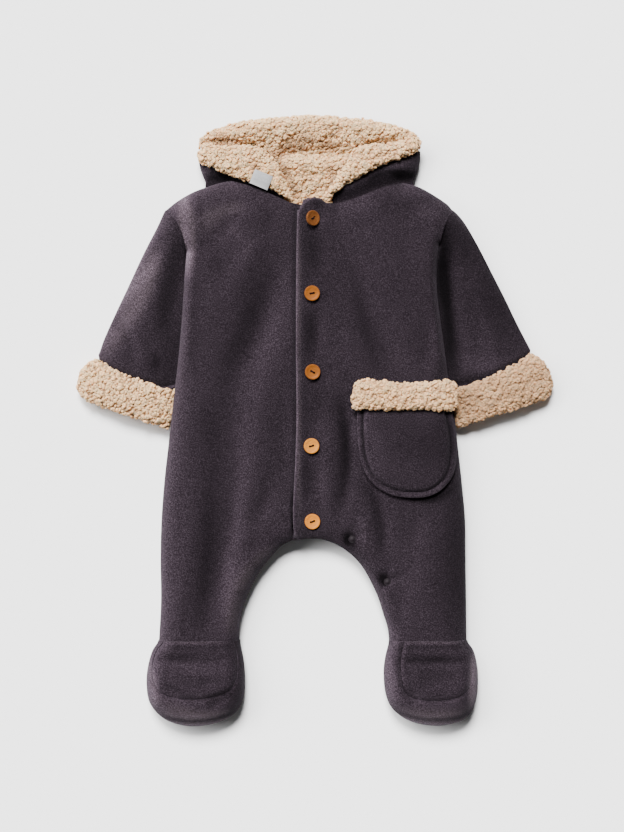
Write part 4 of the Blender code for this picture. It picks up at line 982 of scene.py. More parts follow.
def body_top(at, lower=0.0):
    """Outer face of the fronts: a flat crown rounding down to the seams, with creases and dimples."""
    rounding = body_rounding(at)
    dip = NECK_DIP * np.clip(1 - distance_to_any(NECK_LINES, at) / NECK_DIP_REACH, 0, 1) ** 2
    crown = BODY_CROWN - relief(BODY_CREASES, at) - relief(STUD_PUCKERS, at) - dip - lower
    crown = crown - SEAM_VALLEY * bell(distance_to_any(ARMHOLES, at), SEAM_VALLEY_WIDTH)
    for dimple in DIMPLES:
        crown = crown - dimple.depth * bell(np.linalg.norm(at - dimple.middle, axis=1), dimple.width)
    edge_z = seam_z(at)
    return edge_z + (crown + uneven("body", at) - edge_z) * rounding


def front_left_top(at):
    """The lapping front lies over the other as a raised rolled edge, and falls slack inside it."""
    edge = distance_to(PLACKET_LINE, at)
    return body_top(at) + LAP_RISE * bell(edge, LAP_FALL) - LAP_ROLL * (1 - dome(edge, LAP_ROLL_REACH))


def front_right_top(at):
    """This front sinks where the other lies over it."""
    return body_top(at, UNDERLAP_DROP * soft_step(at[:, 0], UNDERLAP_FROM, UNDERLAP_TO))


def back_bottom(at):
    """Outer face of the back: flat on the floor and rounding up to the seams."""
    rounding = dome(distance_to_any(BODY_CLOSING, at), BACK_REACH)
    return (seam_z(at) - SEAM_GAP) * (1 - rounding) + relief(BACK_CREASES, at) * rounding


# What each piece was cut from: width and length in millimetres, and how much of them the piece fills.
Cut = namedtuple("Cut", "width length filled")


def lay(obj, node, with_pieces=()):
    """Hides the CAD solid whose place the piece takes."""
    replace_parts(obj, node)


def add_body():
    right_side, left_side = curve(RIGHT_SIDE), curve(LEFT_SIDE)
    right_arm, left_arm = armhole("right"), armhole("left")
    right_shoulder, left_shoulder = curve(RIGHT_SHOULDER), curve(LEFT_SHOULDER)
    right_inner, left_inner = curve(RIGHT_INNER), curve(LEFT_INNER)
    left_edges = [
        closing(left_side), free(left_arm), closing(left_shoulder), free(curve(LEFT_NECK)),
        free(curve(PLACKET)), closing(left_inner[::-1]), free(straight(left_inner[0], left_side[0])),
    ]
    left = panel("fleece_front_left", left_edges, front_left_top)
    neck_end, inner_end = xy(RIGHT_NECK)[-1], right_inner[-1]
    underlap = [neck_end, (UNDERLAP_EDGE_X, neck_end[1] - 9), (UNDERLAP_EDGE_X, UNDERLAP_FOOT_Y),
                (inner_end[0], UNDERLAP_FOOT_Y), inner_end]
    right_edges = [
        closing(right_side), free(right_arm), closing(right_shoulder), free(curve(RIGHT_NECK)),
        *[free(straight(a, b)) for a, b in zip(underlap, underlap[1:])],
        closing(right_inner[::-1]), free(straight(right_inner[0], right_side[0])),
    ]
    right = panel("fleece_front_right", right_edges, front_right_top)
    neck = np.vstack([right_shoulder[-1], xy(BACK_NECK), left_shoulder[-1]])
    back_edges = [
        closing(left_side), free(left_arm), closing(left_shoulder), free(spaced(neck, COARSE)[::-1]),
        closing(right_shoulder[::-1]), free(right_arm[::-1]), closing(right_side[::-1]),
        free(straight(right_side[0], right_inner[0])), closing(right_inner),
        closing(straight(inner_end, xy(PLACKET)[-1])), closing(left_inner[::-1]),
        free(straight(left_inner[0], left_side[0])),
    ]
    back = panel("fleece_back", back_edges, back_bottom, faces_up=False, spacing=COARSE)
    lay(left, "front_left")
    lay(right, "front_right")
    lay(back, "back")


# ---- the sleeves and cuffs ----

RING_POINTS = 96
FLATNESS = {"top": 1.0, "floor": 0.45}  # powers of the sine: lower is flatter
TUCKS = (0.4, 2.8, 5.0)  # how far the sleeve's rings reach under the body's side
UNDER_BODY, SEAM_CROWN = 4.0, 24.2  # the sleeve goes on inside the armhole, and dips at its seam
HIDDEN_DROP, HIDDEN_BACK = 2.5, 1.0  # how far its hidden end lies lower and further down than that seam
TOP_SHARE = 0.4  # sine over which a ring's upper half takes up the creases


def side_x(side, y):
    """X of the body's side at this Y."""
    table = xy(LEFT_SIDE if side == "left" else RIGHT_SIDE)
    return np.interp(y, table[:, 1], table[:, 0])


INNER_Z = {"right": 7.0, "left": 17.5}  # least height of the sleeve's inner edge
CUFF_SINK = 3.5  # the cuffs' base sheets lie this much under their solids' crowns: the curls fill it
PILE_INSET = 1.5  # and this far inside them all round
CUFF_ROUNDING, END_REACH = 1.6, 4.0  # of the base sheets' ends
CUFF_PAINTED_SHADE = {  # painted shade: where the cuffs' pile is painted darker and browner than elsewhere
    "right": rows(Crease, (-150, 10, -178, 30, 0.0, 12, 0.22), (-208, 26, -170, 6, 0.0, 7, 0.22)),
    "left": rows(Crease, (140, 18, 210, 44, 0.0, 17, 0.45), (150, 6, 236, 44, 0.0, 9, 0.30),
                 (152, 32, 162, -4, 0.0, 11, 0.60), (204, 38, 236, 54, 0.0, 9, 0.45)),
}
CUFF_REACH = {"right": 4.5, "left": -8.5}  # the cuffs' inner ends lie against the body's sides
SLEEVE_FALL = {"right": 3.5, "left": 7.0}


def beside_body(side, at):
    """How far the sleeve sinks beside the body: one falls away from it, the other slides under it."""
    y = at[:, 1]
    off = np.abs(at[:, 0] - side_x(side, y))
    if side == "left":
        fall = SLEEVE_FALL[side] * soft_step(off, -4, 15) * (1 - 0.6 * soft_step(off, 15, 57))
        return fall * soft_step(y, 206, 151) * (0.4 + 0.6 * soft_step(y, 46, 70))
    return SLEEVE_FALL[side] * bell(off - 2, 15) * soft_step(y, 190, 160)


def with_inner(side, table):
    """The sleeve's rings with their inner ends tucked just under the body's side."""
    sign = 1 if side == "left" else -1
    made = [ring._replace(inner_x=side_x(side, ring.inner_y) - sign * TUCKS[min(i, 2)])
            for i, ring in enumerate(table)]
    made[0] = made[0]._replace(crown=SEAM_CROWN)
    made[1:] = [ring._replace(inner_z=max(ring.inner_z, INNER_Z[side])) for ring in made[1:]]
    seam = made[0]
    hidden = seam._replace(outer_x=seam.outer_x - sign * UNDER_BODY, outer_y=seam.outer_y - HIDDEN_BACK,
                           inner_x=seam.inner_x - sign * UNDER_BODY, crown=SEAM_CROWN - HIDDEN_DROP)
    return [hidden] + made


def between(rings):
    """The rings with smooth in-between ones, as far apart as the cloth's points."""
    fine = smooth(np.array(rings, float))
    run = np.concatenate([[0], np.cumsum(np.linalg.norm(np.diff(fine[:, :2], axis=0), axis=1))])
    stops = np.linspace(0, run[-1], int(run[-1] / FINE) + 1)
    return [Ring(*[np.interp(stop, run, fine[:, k]) for k in range(fine.shape[1])]) for stop in stops]


def ring_section(ring):
    """The ring in its own plane: distance from the outer end, and height."""
    width = math.hypot(ring.inner_x - ring.outer_x, ring.inner_y - ring.outer_y)
    cosine, sine = circle(RING_POINTS).T
    across = (1 - cosine) / 2
    edge_z = ring.outer_z + (ring.inner_z - ring.outer_z) * across
    top = edge_z + (ring.crown - edge_z) * np.abs(sine) ** FLATNESS["top"]
    floor = edge_z - (edge_z - ring.floor) * np.abs(sine) ** FLATNESS["floor"]
    return np.column_stack([across * width, np.where(sine >= 0, top, floor)]), width


def placed(ring, section, width):
    """The section's points in space, with the ring's bow along the sleeve."""
    outer = np.array([ring.outer_x, ring.outer_y])
    along = (np.array([ring.inner_x, ring.inner_y]) - outer) / width
    down = np.array([along[1], -along[0]]) * (1 if along[0] > 0 else -1)
    t = section[:, 0] / width
    bow = ring.bow * 4 * t * (1 - t)
    plan = outer + section[:, :1] * along + bow[:, None] * down
    return np.column_stack([plan, section[:, 1]])


def shrunk(section, by):
    """The closed section moved inward by a distance."""
    ahead = unit(np.roll(section, -1, axis=0) - np.roll(section, 1, axis=0))
    return section + by * np.column_stack([ahead[:, 1], -ahead[:, 0]])


def tube(name, rings, wall, looks, slot, shape=None, rounded=0.0):
    """An open tube through the rings, less each one's inset. shape(points, tops) may move its points."""
    outer, inner = [], []
    last = len(rings) - 1
    tops = soft_step(circle(RING_POINTS)[:, 1], 0, TOP_SHARE)
    for i, ring in enumerate(rings):
        inset = max(0.0, ring.inset)
        section, width = ring_section(ring)
        pulled = rounded * max(0.0, 1 - min(i, last - i) * FINE / END_REACH) ** 2
        skin = placed(ring, shrunk(section, inset + pulled), width)
        lining = placed(ring, shrunk(section, inset + wall - pulled * 0.5), width)
        if shape:
            skin, lining = shape(skin, tops), shape(lining, tops)
        outer.append(skin)
        inner.append(lining)
    points = np.vstack(outer + inner[::-1])
    loops = [i * RING_POINTS + np.arange(RING_POINTS) for i in range(2 * len(rings))]
    return add_mesh(name, points, facing_out(points, band_faces(loops + loops[:1])), looks, slot)


def add_arms():
    for side, sleeve, cuff_table in (("right", RIGHT_SLEEVE, RIGHT_CUFF), ("left", LEFT_SLEEVE, LEFT_CUFF)):

        def crease(points, tops, side=side):
            at = points[:, :2]
            depth = relief(SLEEVE_CREASES[side], at) + beside_body(side, at) - uneven(f"sleeve {side}", at)
            points[:, 2] -= tops * depth
            return points

        cuff = [ring._replace(inner_x=ring.inner_x + CUFF_REACH[side], crown=ring.crown - CUFF_SINK,
                              inset=PILE_INSET) for ring in cuff_table]
        inside_cuff = [ring._replace(inset=CUFF_WALL + PILE_INSET) for ring in cuff[:3]]
        piece = tube(f"fleece_sleeve_{side}", between(with_inner(side, sleeve) + inside_cuff), SLEEVE_WALL,
                     FLEECE, "fleece", crease)
        lay(piece, f"sleeve_{side}")
        band = tube(f"pile_cuff_{side}", between(cuff), CUFF_WALL - PILE_INSET, PILE_LOOKS, "pile",
                    rounded=CUFF_ROUNDING)
        curls = add_curls(band, f"curls_cuff_{side}", lambda centre, normal: normal[:, 2] > -0.75,
                          **CUFF_LOOKS[side], shade=shade_of(CUFF_PAINTED_SHADE[side]), lowest=0.4)
        lay(band, f"cuff_{side}", [curls])


# ---- sherpa curls ----

CURL_RINGS, CURL_SIDES, CURL_KINDS = 8, 5, 9
CURL_RADIUS, CURL_THICK, CURL_RISE = 1.8, 1.55, 1.6
CURL_GAP, CURL_SIZE, TRIES_A_SPOT = 2.6, 1.14, 6
CURL_SEED, CURL_LEAN = 11, 0.24  # the lean: how far from upright, at random
CLUMP_SIZE, CLUMP_RISE = 6.2, 0.8
CRACK_DEPTH, CRACK_WIDTH, CRACK_SHADE = 0.8, 0.8, 0.30  # the gaps that part the pile into clumps: their depth, width and painted shade
REACH_FROM, REACH_OVER = 1.2, 3.8  # a point this far under the ground is 0 out, and 1 that much higher
# soft lessens the painted shade in a curl's depths, and flat presses it down.
HOOD_PILE = {"soft": 0.6, "flat": 0.72}
BAND_LOOKS = {"soft": 0.3, "flat": 0.78, "paleness": 0.7}
CUFF_LOOKS = {  # the left cuff is painted darker all over, as painted shade
    "right": {"soft": 0.4, "flat": 0.78, "paleness": 1.0},
    "left": {"soft": 0.0, "flat": 0.78, "paleness": 0.36},
}


def shade_of(marks):
    """A function of plan points: the share of its paleness that the pile keeps under the painted shade marks.
    """
    return lambda at: np.clip(1 - relief(marks, at), 0.2, 1.4)


def curl_kind(draw):
    """One knob of pile: a thick strand winding up and in to its tip."""
    s = np.linspace(0, 1, CURL_RINGS)
    turn = draw.uniform(0.75, 1.45) * 2 * np.pi * draw.choice([-1, 1])
    radius = CURL_RADIUS * draw.uniform(0.8, 1.2) * (1 - 0.62 * s)
    spine = np.column_stack([radius * np.cos(turn * s), radius * np.sin(turn * s) * draw.uniform(0.7, 1.0),
                             -0.7 + CURL_RISE * draw.uniform(0.8, 1.2) * s ** 0.8])
    blunt = np.sqrt(np.maximum(0.06, 1 - (2 * s - 1) ** 6))
    thick = CURL_THICK * draw.uniform(0.85, 1.15) * blunt * (1 - 0.3 * s)
    points, rings, caps = rope(spine, thick, CURL_SIDES, poke=0.3)
    return points, facing_out(points, np.vstack([band_faces(rings), caps]))


def spots_on(obj, draw, keep):
    """Points spread about evenly over the faces that keep chooses, and their normals."""
    mesh = obj.data
    mesh.calc_loop_triangles()
    corners = np.empty(len(mesh.loop_triangles) * 3, np.int32)
    mesh.loop_triangles.foreach_get("vertices", corners)
    co = np.empty(len(mesh.vertices) * 3, np.float32)
    mesh.vertices.foreach_get("co", co)
    p = (co.reshape(-1, 3) / MM).astype(float)[corners.reshape(-1, 3)]
    cross = np.cross(p[:, 1] - p[:, 0], p[:, 2] - p[:, 0])
    double = np.linalg.norm(cross, axis=1)  # twice each triangle's area
    normal = cross / np.maximum(double, 1e-9)[:, None]
    chosen = keep(p.mean(axis=1), normal) & (double > 0)
    p, normal, double = p[chosen], normal[chosen], double[chosen]
    tries = int(double.sum() / 2 / CURL_GAP ** 2 * TRIES_A_SPOT)
    pick = draw.choice(len(p), tries, p=double / double.sum())
    u, v = draw.random((2, tries, 1))
    u, v = np.where(u + v > 1, 1 - u, u), np.where(u + v > 1, 1 - v, v)
    at = p[pick, 0] + u * (p[pick, 1] - p[pick, 0]) + v * (p[pick, 2] - p[pick, 0])
    kept = thinned(at, CURL_GAP)
    return at[kept], normal[pick[kept]]


def clumping(at):
    """How far each point is from its clump's middle, in clump sizes, and how near it is to the next clump."""
    cell = np.floor(at / CLUMP_SIZE).astype(int)
    jitter = np.random.default_rng(CURL_SEED).random((CELLS, CELLS, 2))
    away = []
    for step in itertools.product((-1, 0, 1), repeat=2):
        near = cell + step
        middle = (near + jitter[near[:, 0] % CELLS, near[:, 1] % CELLS]) * CLUMP_SIZE
        away.append(np.linalg.norm(at - middle, axis=1))
    away = np.sort(away, axis=0)
    return away[0] / CLUMP_SIZE, away[1] - away[0]


def add_curls(obj, name, keep, soft, flat, paleness=1.0, shade=None, lowest=0.3):
    """Curls of pile all over a base sheet's chosen faces, in soft clumps, joined as one piece, with painted
    shade in the clumps' gaps and under the shade marks.
    """
    draw = np.random.default_rng(CURL_SEED + len(name))
    kinds = [curl_kind(draw) for _ in range(CURL_KINDS)]
    at, normal = spots_on(obj, draw, keep)
    off_middle, beside = clumping(at[:, :2] + 0.6 * at[:, 2:])
    cracks = bell(beside, CRACK_WIDTH)
    clumps = CLUMP_RISE * (1 - 2 * off_middle ** 2) - CRACK_DEPTH * cracks
    # painted shade in the cracks and under the shade marks
    pale = paleness * (1 - CRACK_SHADE * cracks) * (shade(at[:, :2]) if shade else 1.0)
    points, faces, reach, start = [], [], [], 0
    for spot, up, clump, paled in zip(at, normal, clumps, pale):
        shape, triangles = kinds[draw.integers(CURL_KINDS)]
        lean = up + draw.normal(0, CURL_LEAN, 3)
        lean /= np.linalg.norm(lean)
        spin = draw.uniform(0, 2 * np.pi)
        aside = np.cross(lean, (math.cos(spin), math.sin(spin), 0.31))
        aside /= np.linalg.norm(aside)
        grown = shape * draw.uniform(0.72, 1.3) * CURL_SIZE * (1, 1, flat)
        points.append(spot + clump * up + grown @ np.vstack([aside, np.cross(lean, aside), lean]))
        faces.append(triangles + start)
        out = np.clip((grown[:, 2] / flat + clump + REACH_FROM) / REACH_OVER, 0, 1) * draw.uniform(0.9, 1.0)
        reach.append((soft + (1 - soft) * out) * paled)
        start += len(shape)
    points = np.vstack(points)
    points[:, 2] = np.maximum(points[:, 2], lowest)
    made = add_mesh(name, points, np.vstack(faces), PILE_LOOKS, "pile", sharp=180)
    add_attribute(made.data, "reach", np.concatenate(reach))
    return made


# ---- the hood ----

RIM_LINE = curve(HOOD_RIM, 4)
HOOD_SIDE_LINES = {"right": curve(HOOD_RIGHT_EDGE, 3), "left": curve(HOOD_LEFT_EDGE, 3)}
LAPEL_TOPS = {side: curve(LAPELS[side][0], 3) for side in LAPELS}
LAPEL_FEET = {side: curve(LAPELS[side][1], 3) for side in LAPELS}
SHOULDER_LINES = {"right": curve(RIGHT_SHOULDER, 4), "left": curve(LEFT_SHOULDER, 4)}
HOOD_PAINTED_SHADE = rows(  # painted shade on the hood's pile, or painted light where the depth is below 0
    Crease,
    (-104, 284, -72, 270, 0.05, 7.0, 1.00),
    (-72, 274, -48, 272, 0.0, 5.0, -0.45),
    (-42, 266, -4, 279, 0.05, 7.0, 0.95),
    (-16, 280, 4, 282, 0.0, 7.0, 0.50),
    (4, 279, 28, 271, 0.0, 6.0, 0.85),
    (8, 292, 32, 296, 0.0, 5.0, 0.25),
    (34, 276, 96, 285, 0.02, 7.0, -0.95),
    (-54, 273, -40, 264, -0.1, 2.6, 0.70),
    (-43, 269, -14, 220, 0.02, 4.0, 1.10),
    (37, 268, 7, 222, 0.0, 3.4, 0.75),
    (-10, 258, -7, 243, 0.0, 4.0, 0.42),
    (12, 262, 19, 240, 0.0, 6.0, 0.70),
    (1.5, 304, 1.5, 244, 0.0, 1.5, -0.20),
)
# painted shade on the turned-out edges' pile, or painted light where the depth is below 0
LAPEL_PAINTED_SHADE = rows(
    Crease,
    (-62, 254, -56, 249, 0.0, 4.0, 1.90),
    (-82, 252, -34, 232, 0.0, 9.0, 0.16),
    (40, 268, 20, 236, 0.0, 7.0, -0.14),
)
HOOD_CREASES = rows(
    Crease,
    (-42, 266, 34, 267, 0.03, 4.2, 2.2),
    (-40, 262, -12, 268, 0.0, 4.0, 1.0),
    (-96, 276, -52, 270, 0.0, 6.0, 1.4),
    (40, 276, 80, 280, 0.0, 6.0, 1.2),
    (-4, 300, -8, 276, 0.0, 5.0, 0.8),
)


def hood_back_bottom(at):
    """Outer face of the hood's back: flat on the floor and rounding up to its seam."""
    sides = distance_to_any([HOOD_SIDE_LINES["right"], HOOD_SIDE_LINES["left"]], at)
    rim = distance_to(RIM_LINE, at)
    edge = np.minimum(np.maximum(rim - RIM_SETBACK, 0), sides)
    return (HOOD_SEAM_Z - SEAM_GAP) * (1 - dome(edge, HOOD_REACH))


def side_top(side, at):
    """Upper face of a hood side panel: up from the seam, down again to the neck."""
    outline = distance_to(HOOD_SIDE_LINES[side], at)
    crown = HOOD_SEAM_Z + (SIDE_CROWN - HOOD_SEAM_Z) * dome(outline, SIDE_REACH)
    neck = NECK_LINES[0 if side == "right" else 1]
    neck_z = np.interp(np.abs(at[:, 0]), (25, abs(neck[0][0])), (14.0, HOOD_SEAM_Z + 2.5))
    rise = soft_step(distance_to_any([neck, SHOULDER_LINES[side]], at), 0, SIDE_FOOT_REACH)
    return np.minimum(crown, neck_z + (crown - neck_z) * rise)


def lapel_bottom(side, at):
    """The turned-out edge lies on the side panel, and stands off it at the hood's seam."""
    rounding = dome(distance_to(HOOD_SIDE_LINES[side], at), SIDE_REACH)
    crown = HOOD_SEAM_Z + (SIDE_CROWN - HOOD_SEAM_Z) * rounding
    return crown + SEAM_GAP + LAPEL_EDGE_LIFT * (1 - rounding)


def lapel_top(side, at):
    edge = distance_to_any([LAPEL_TOPS[side], LAPEL_FEET[side]], at)
    return lapel_bottom(side, at) + LAPEL_LEAST + LAPEL_SWELL * dome(edge, LAPEL_REACH) + uneven("lapel", at)


def pile_floor_top(at):
    """The hood's inside: a rolled rim, a fall to the crease and a low swell under it."""
    rim = distance_to(RIM_LINE, at)
    roll = RIM_CROWN * (1 - RIM_DROP * (1 - dome(rim, RIM_ROLL)))
    fall = soft_step(rim, RIM_ROLL, RIM_ROLL + RIM_FALL)
    swell = HOOD_SWELL * bell(at[:, 1] - HOOD_SWELL_Y, HOOD_SWELL_WIDTH)
    z = HOOD_FLOOR + (roll - HOOD_FLOOR) * (1 - fall) + swell * fall
    for side in LAPELS:
        loop = np.vstack([LAPEL_TOPS[side][:-1], LAPEL_FEET[side][:-1]])
        past = np.where(inside(loop, at), 0, distance_to(np.vstack([loop, loop[:1]]), at))
        z = np.minimum(z, UNDER_LAPEL + np.maximum(0, past - 1.0) * LAPEL_SLOPE)
    z = z + soft_step(np.abs(at[:, 0]), CORNER_FROM, CORNER_TO) * np.maximum(0, CORNER_Z - z)
    z = z - relief(HOOD_CREASES, at) + uneven("hood floor", at) - FLOOR_SINK
    return np.maximum(z, hood_back_bottom(at) + HOOD_WALL + THINNEST_PILE)


def pile_floor_bottom(at):
    """Clear of the hood's back, whose wall leans where it rounds up."""
    over_back = hood_back_bottom(at) + HOOD_WALL * 1.35 + 1.5
    top = pile_floor_top(at)
    return np.minimum(np.maximum(over_back, top - FLOOR_PILE), top - 1.0)


def neck_pile_bottom(at):
    return np.full(len(at), WALL + NECK_PILE_LIFT)


def neck_pile_top(at):
    """The inside of the back, rising to the hood's seam."""
    rise = NECK_PILE_RISE * soft_step(at[:, 1], 228, 244)
    return neck_pile_bottom(at) + NECK_PILE_DEPTH + rise + uneven("neck", at)


def add_hood():
    rim = set_back(RIM_LINE[1:-1], RIM_SETBACK)
    right, left = HOOD_SIDE_LINES["right"], HOOD_SIDE_LINES["left"]
    back_edges = [
        closing(curve(HOOD_RIGHT_EDGE)), free(straight(right[-1], rim[0])), closing(rim),
        free(straight(rim[-1], left[0])), closing(curve(HOOD_LEFT_EDGE)), free(curve(HOOD_FOOT)),
    ]
    back = panel("fleece_hood_back", back_edges, hood_back_bottom, HOOD_WALL, faces_up=False, spacing=COARSE)
    lay(back, "hood_back")
    floor_edges = [
        free(curve(HOOD_FLOOR_FOOT)), free(straight((-112, 274), RIM_LINE[2])), free(RIM_LINE[2:-2]),
        free(straight(RIM_LINE[-3], (101, 277))),
    ]
    floor = pad("pile_hood", floor_edges, pile_floor_bottom, pile_floor_top)
    lay(floor, "hood_pile", [add_curls(
        floor, "curls_hood", lambda centre, normal: (normal[:, 2] > -0.3) & (centre[:, 2] > 7),
        **HOOD_PILE, shade=shade_of(HOOD_PAINTED_SHADE))])
    neck_edges = [free(straight(a, b)) for a, b in zip(xy(NECK_PILE), xy(NECK_PILE)[1:])]
    neck = pad("pile_neck", neck_edges, neck_pile_bottom, neck_pile_top)
    lay(neck, "neck_pile", [add_curls(
        neck, "curls_neck", lambda centre, normal: (normal[:, 2] > 0.5) & (centre[:, 1] > 212),
        **HOOD_PILE, shade=shade_of(HOOD_PAINTED_SHADE))])
    for side in LAPELS:
        edge = curve(HOOD_RIGHT_EDGE if side == "right" else HOOD_LEFT_EDGE)
        edge = edge[:-2] if side == "right" else edge[2:][::-1]
        fold, foot = curve(SIDE_FOLDS[side]), curve(SIDE_PANEL_FEET[side])
        side_edges = [closing(edge), free(straight(edge[-1], fold[0])), free(fold),
                      free(straight(fold[-1], foot[0])), free(foot), free(straight(foot[-1], edge[0]))]
        piece = panel(f"fleece_hood_side_{side}", side_edges, partial(side_top, side), HOOD_WALL)
        lay(piece, f"hood_side_{side}")
        lapel_edges = [free(curve(table)) for table in LAPELS[side]]
        lapel = pad(f"pile_lapel_{side}", lapel_edges, partial(lapel_bottom, side), partial(lapel_top, side))
        lay(lapel, f"hood_lapel_{side}", [add_curls(
            lapel, f"curls_lapel_{side}", lambda centre, normal: normal[:, 2] > -0.2,
            **HOOD_PILE, shade=shade_of(LAPEL_PAINTED_SHADE))])


# ---- the feet ----

FOOT_LINES = {side: [curve(table, 3) for table in FEET[side]] for side in FEET}
SOLE_LIP, SOLE_GROOVE = 6.8, 0.9  # width of the sole's edge round the toe, and depth of the seam
TOE_FADE = (-284, -293)  # Y over which that seam begins
ANKLE_LAP, ANKLE_RISE = 1.3, 0.8  # the foot's rolled top edge lies over the leg's end
ANKLE_ROLL, ANKLE_ROLL_INSET, ANKLE_ROLL_WIDTH = 1.0, 3.2, 2.4
TOP_SEAM_GAP = 0.5
TOP_SEAM_VALLEY, TOP_SEAM_WIDTH = 1.3, 2.5


def foot_top(side, at):
    """A booty: swelling from the ankle to the toe, with a seam round its top and a sole's edge."""
    outline, seam = FOOT_LINES[side]
    edge, ankle = distance_to(outline, at), outline[0][1]
    swell = soft_step(at[:, 1], ankle, ankle - FOOT_RISE)
    crown = BODY_CROWN + (FOOT_CROWN - BODY_CROWN) * swell - relief(FOOT_CREASES[side], at)
    crown = crown - TOP_SEAM_VALLEY * bell(distance_to(seam, at), TOP_SEAM_WIDTH)
    crown = crown + ANKLE_ROLL * bell(at[:, 1] - (ankle - ANKLE_ROLL_INSET), ANKLE_ROLL_WIDTH)
    crown = crown + uneven("foot", at)
    z = SEAM_Z + (crown - SEAM_Z) * dome(edge, FOOT_REACH)
    z = z + ANKLE_RISE * soft_step(at[:, 1], ankle - 4, ankle - 1)
    return z - SOLE_GROOVE * soft_step(at[:, 1], *TOE_FADE) * bell(edge - SOLE_LIP, 1.8)


def sole_bottom(side, at):
    """Flat on the floor and rounding up to the seam."""
    return (SEAM_Z - SEAM_GAP) * (1 - dome(distance_to(FOOT_LINES[side][0], at), SOLE_REACH))


def add_feet():
    for side, (outline_table, seam_table) in FEET.items():
        outline, seam = curve(outline_table), curve(seam_table)
        for line in (outline, seam):
            line[[0, -1], 1] += ANKLE_LAP
        inset = set_back(seam, TOP_SEAM_GAP * (1 if side == "left" else -1))
        inset[0], inset[-1] = seam[0], seam[-1]
        ends = np.sign(seam[-1][0] - seam[0][0]) * TOP_SEAM_GAP
        inset[0][0] += ends
        inset[-1][0] -= ends
        top_edges = [free(inset), free(straight(inset[-1], inset[0]))]
        top = panel(f"fleece_foot_top_{side}", top_edges, partial(foot_top, side))
        band_edges = [closing(outline), free(straight(outline[-1], seam[-1])), free(seam[::-1]),
                      free(straight(seam[0], outline[0]))]
        band = panel(f"fleece_foot_band_{side}", band_edges, partial(foot_top, side))
        sole_edges = [closing(outline), free(straight(outline[-1], outline[0]))]
        sole = panel(f"fleece_sole_{side}", sole_edges, partial(sole_bottom, side), faces_up=False,
                     spacing=COARSE)
        lay(top, f"foot_top_{side}")
        lay(band, f"foot_band_{side}")
        lay(sole, f"sole_{side}")


# ---- the pocket ----

GROOVE_INSET, GROOVE_DEPTH = 5.8, 1.8  # of the topstitching, from the pocket's edge
POCKET_SPACING, POCKET_LIFT, POCKET_CROWN = 1.9, 0.2, 0.9
BAND_LEAST, BAND_SWELL, BAND_REACH = 1.0, 4.5, 7.0  # the turned edge's base sheet
MARGIN_RISE, MARGIN_REACH, SLACK_REACH = 0.5, 2.5, 16.0
# painted highlight on the pocket's margin, painted shade in its groove, and how wide they are
MARGIN_HIGHLIGHT, GROOVE_SHADE, PAINTED_EDGE_WIDTH = 0.22, -0.48, 1.4
POCKET_LINE = curve(POCKET, 3)
POCKET_SIDE = POCKET_LINE[POCKET_LINE[:, 1] < 30]


def moved_out(at, by):
    """The left front's outer face at these plan points, moved out along its own normal."""
    return np.column_stack([at, smooth_top(at)]) + normals_of(smooth_top, at) * np.reshape(by, (-1, 1))


def smooth_top(at):
    """The left front without its fine creases, which the patch pocket bridges."""
    return SEAM_Z + (BODY_CROWN + POCKET_CROWN - SEAM_Z) * body_rounding(at)


def pocket_lift(at):
    """Stitched down along the groove, slack in the middle, with a raised margin outside the groove."""
    edge = distance_to(POCKET_SIDE, at)
    groove = GROOVE_DEPTH * bell(edge - GROOVE_INSET, 1.2)
    margin = MARGIN_RISE * dome(edge, MARGIN_REACH)
    slack = POCKET_SWELL * dome(np.maximum(edge - GROOVE_INSET, 0), SLACK_REACH)
    return slack - groove + margin + uneven("pocket", at)


def pocket_painted_light(at):
    """Painted shade in the stitched groove and a painted highlight on the raised margin."""
    edge = distance_to(POCKET_SIDE, at)
    return MARGIN_HIGHLIGHT * bell(edge - 1.2, PAINTED_EDGE_WIDTH) + GROOVE_SHADE * bell(edge - GROOVE_INSET, PAINTED_EDGE_WIDTH)


def add_pocket():
    loop, _, outward = loop_of([free(curve(POCKET))])
    plan, faces = triangles_in(loop, filling(loop, outward, POCKET_SPACING))
    points = np.vstack([moved_out(plan, pocket_lift(plan) + POCKET_WALL), moved_out(plan, POCKET_LIFT)])
    pocket = add_mesh("fleece_pocket", points, shell_faces(len(plan), faces), FLEECE, "fleece")
    # the pocket's painted shade and light: its table's marks and those along its edge
    marks = relief(SHADE_AND_LIGHT_MARKS["pocket"], points[:, :2]) + np.tile(pocket_painted_light(plan), 2)
    set_values(pocket.data.attributes["shade_and_light"], np.maximum(marks, DARKEST_MARK))
    lay(pocket, "pocket")

    def band_bottom(at):
        slope_x, slope_y = slopes(smooth_top, at)
        stretch = np.sqrt(1 + slope_x ** 2 + slope_y ** 2)
        over = smooth_top(at) + (POCKET_WALL + SEAM_GAP + POCKET_SWELL) * np.minimum(stretch, 2.0)
        return np.maximum(over, BAND_LOWEST)

    def band_top(at):
        edge = distance_to(curve(POCKET_BAND, 3), at)
        return band_bottom(at) + BAND_LEAST + BAND_SWELL * dome(edge, BAND_REACH)

    band = pad("pile_pocket_band", [free(curve(POCKET_BAND))], band_bottom, band_top)
    lay(band, "pocket_band", [add_curls(
        band, "curls_pocket_band", lambda centre, normal: normal[:, 2] > 0.55, **BAND_LOOKS)])


# ---- buttons, studs and label ----


def make_wood(name, dark, light):
    s = Shader(name, roughness=0.5, specular=0.09)
    grain = s.noise(160, detail=3, distortion=1.2, stretch=(1.0, 7.0, 1.0))
    s.colour(s.ramp(grain, (0.3, dark), (0.62, light)))
    s.bump(grain, distance=0.0001, strength=0.4)
    return s.material


def make_plain(name, colour, roughness, specular=0.4):
    s = Shader(name, roughness=roughness, specular=specular)
    s.colour(s.ramp(s.noise(900, detail=2), (0.3, tuple(0.75 * c for c in colour)), (0.7, colour)))
    s.bump(s.noise(1400, detail=2), distance=0.00015, strength=0.5)
    return s.material


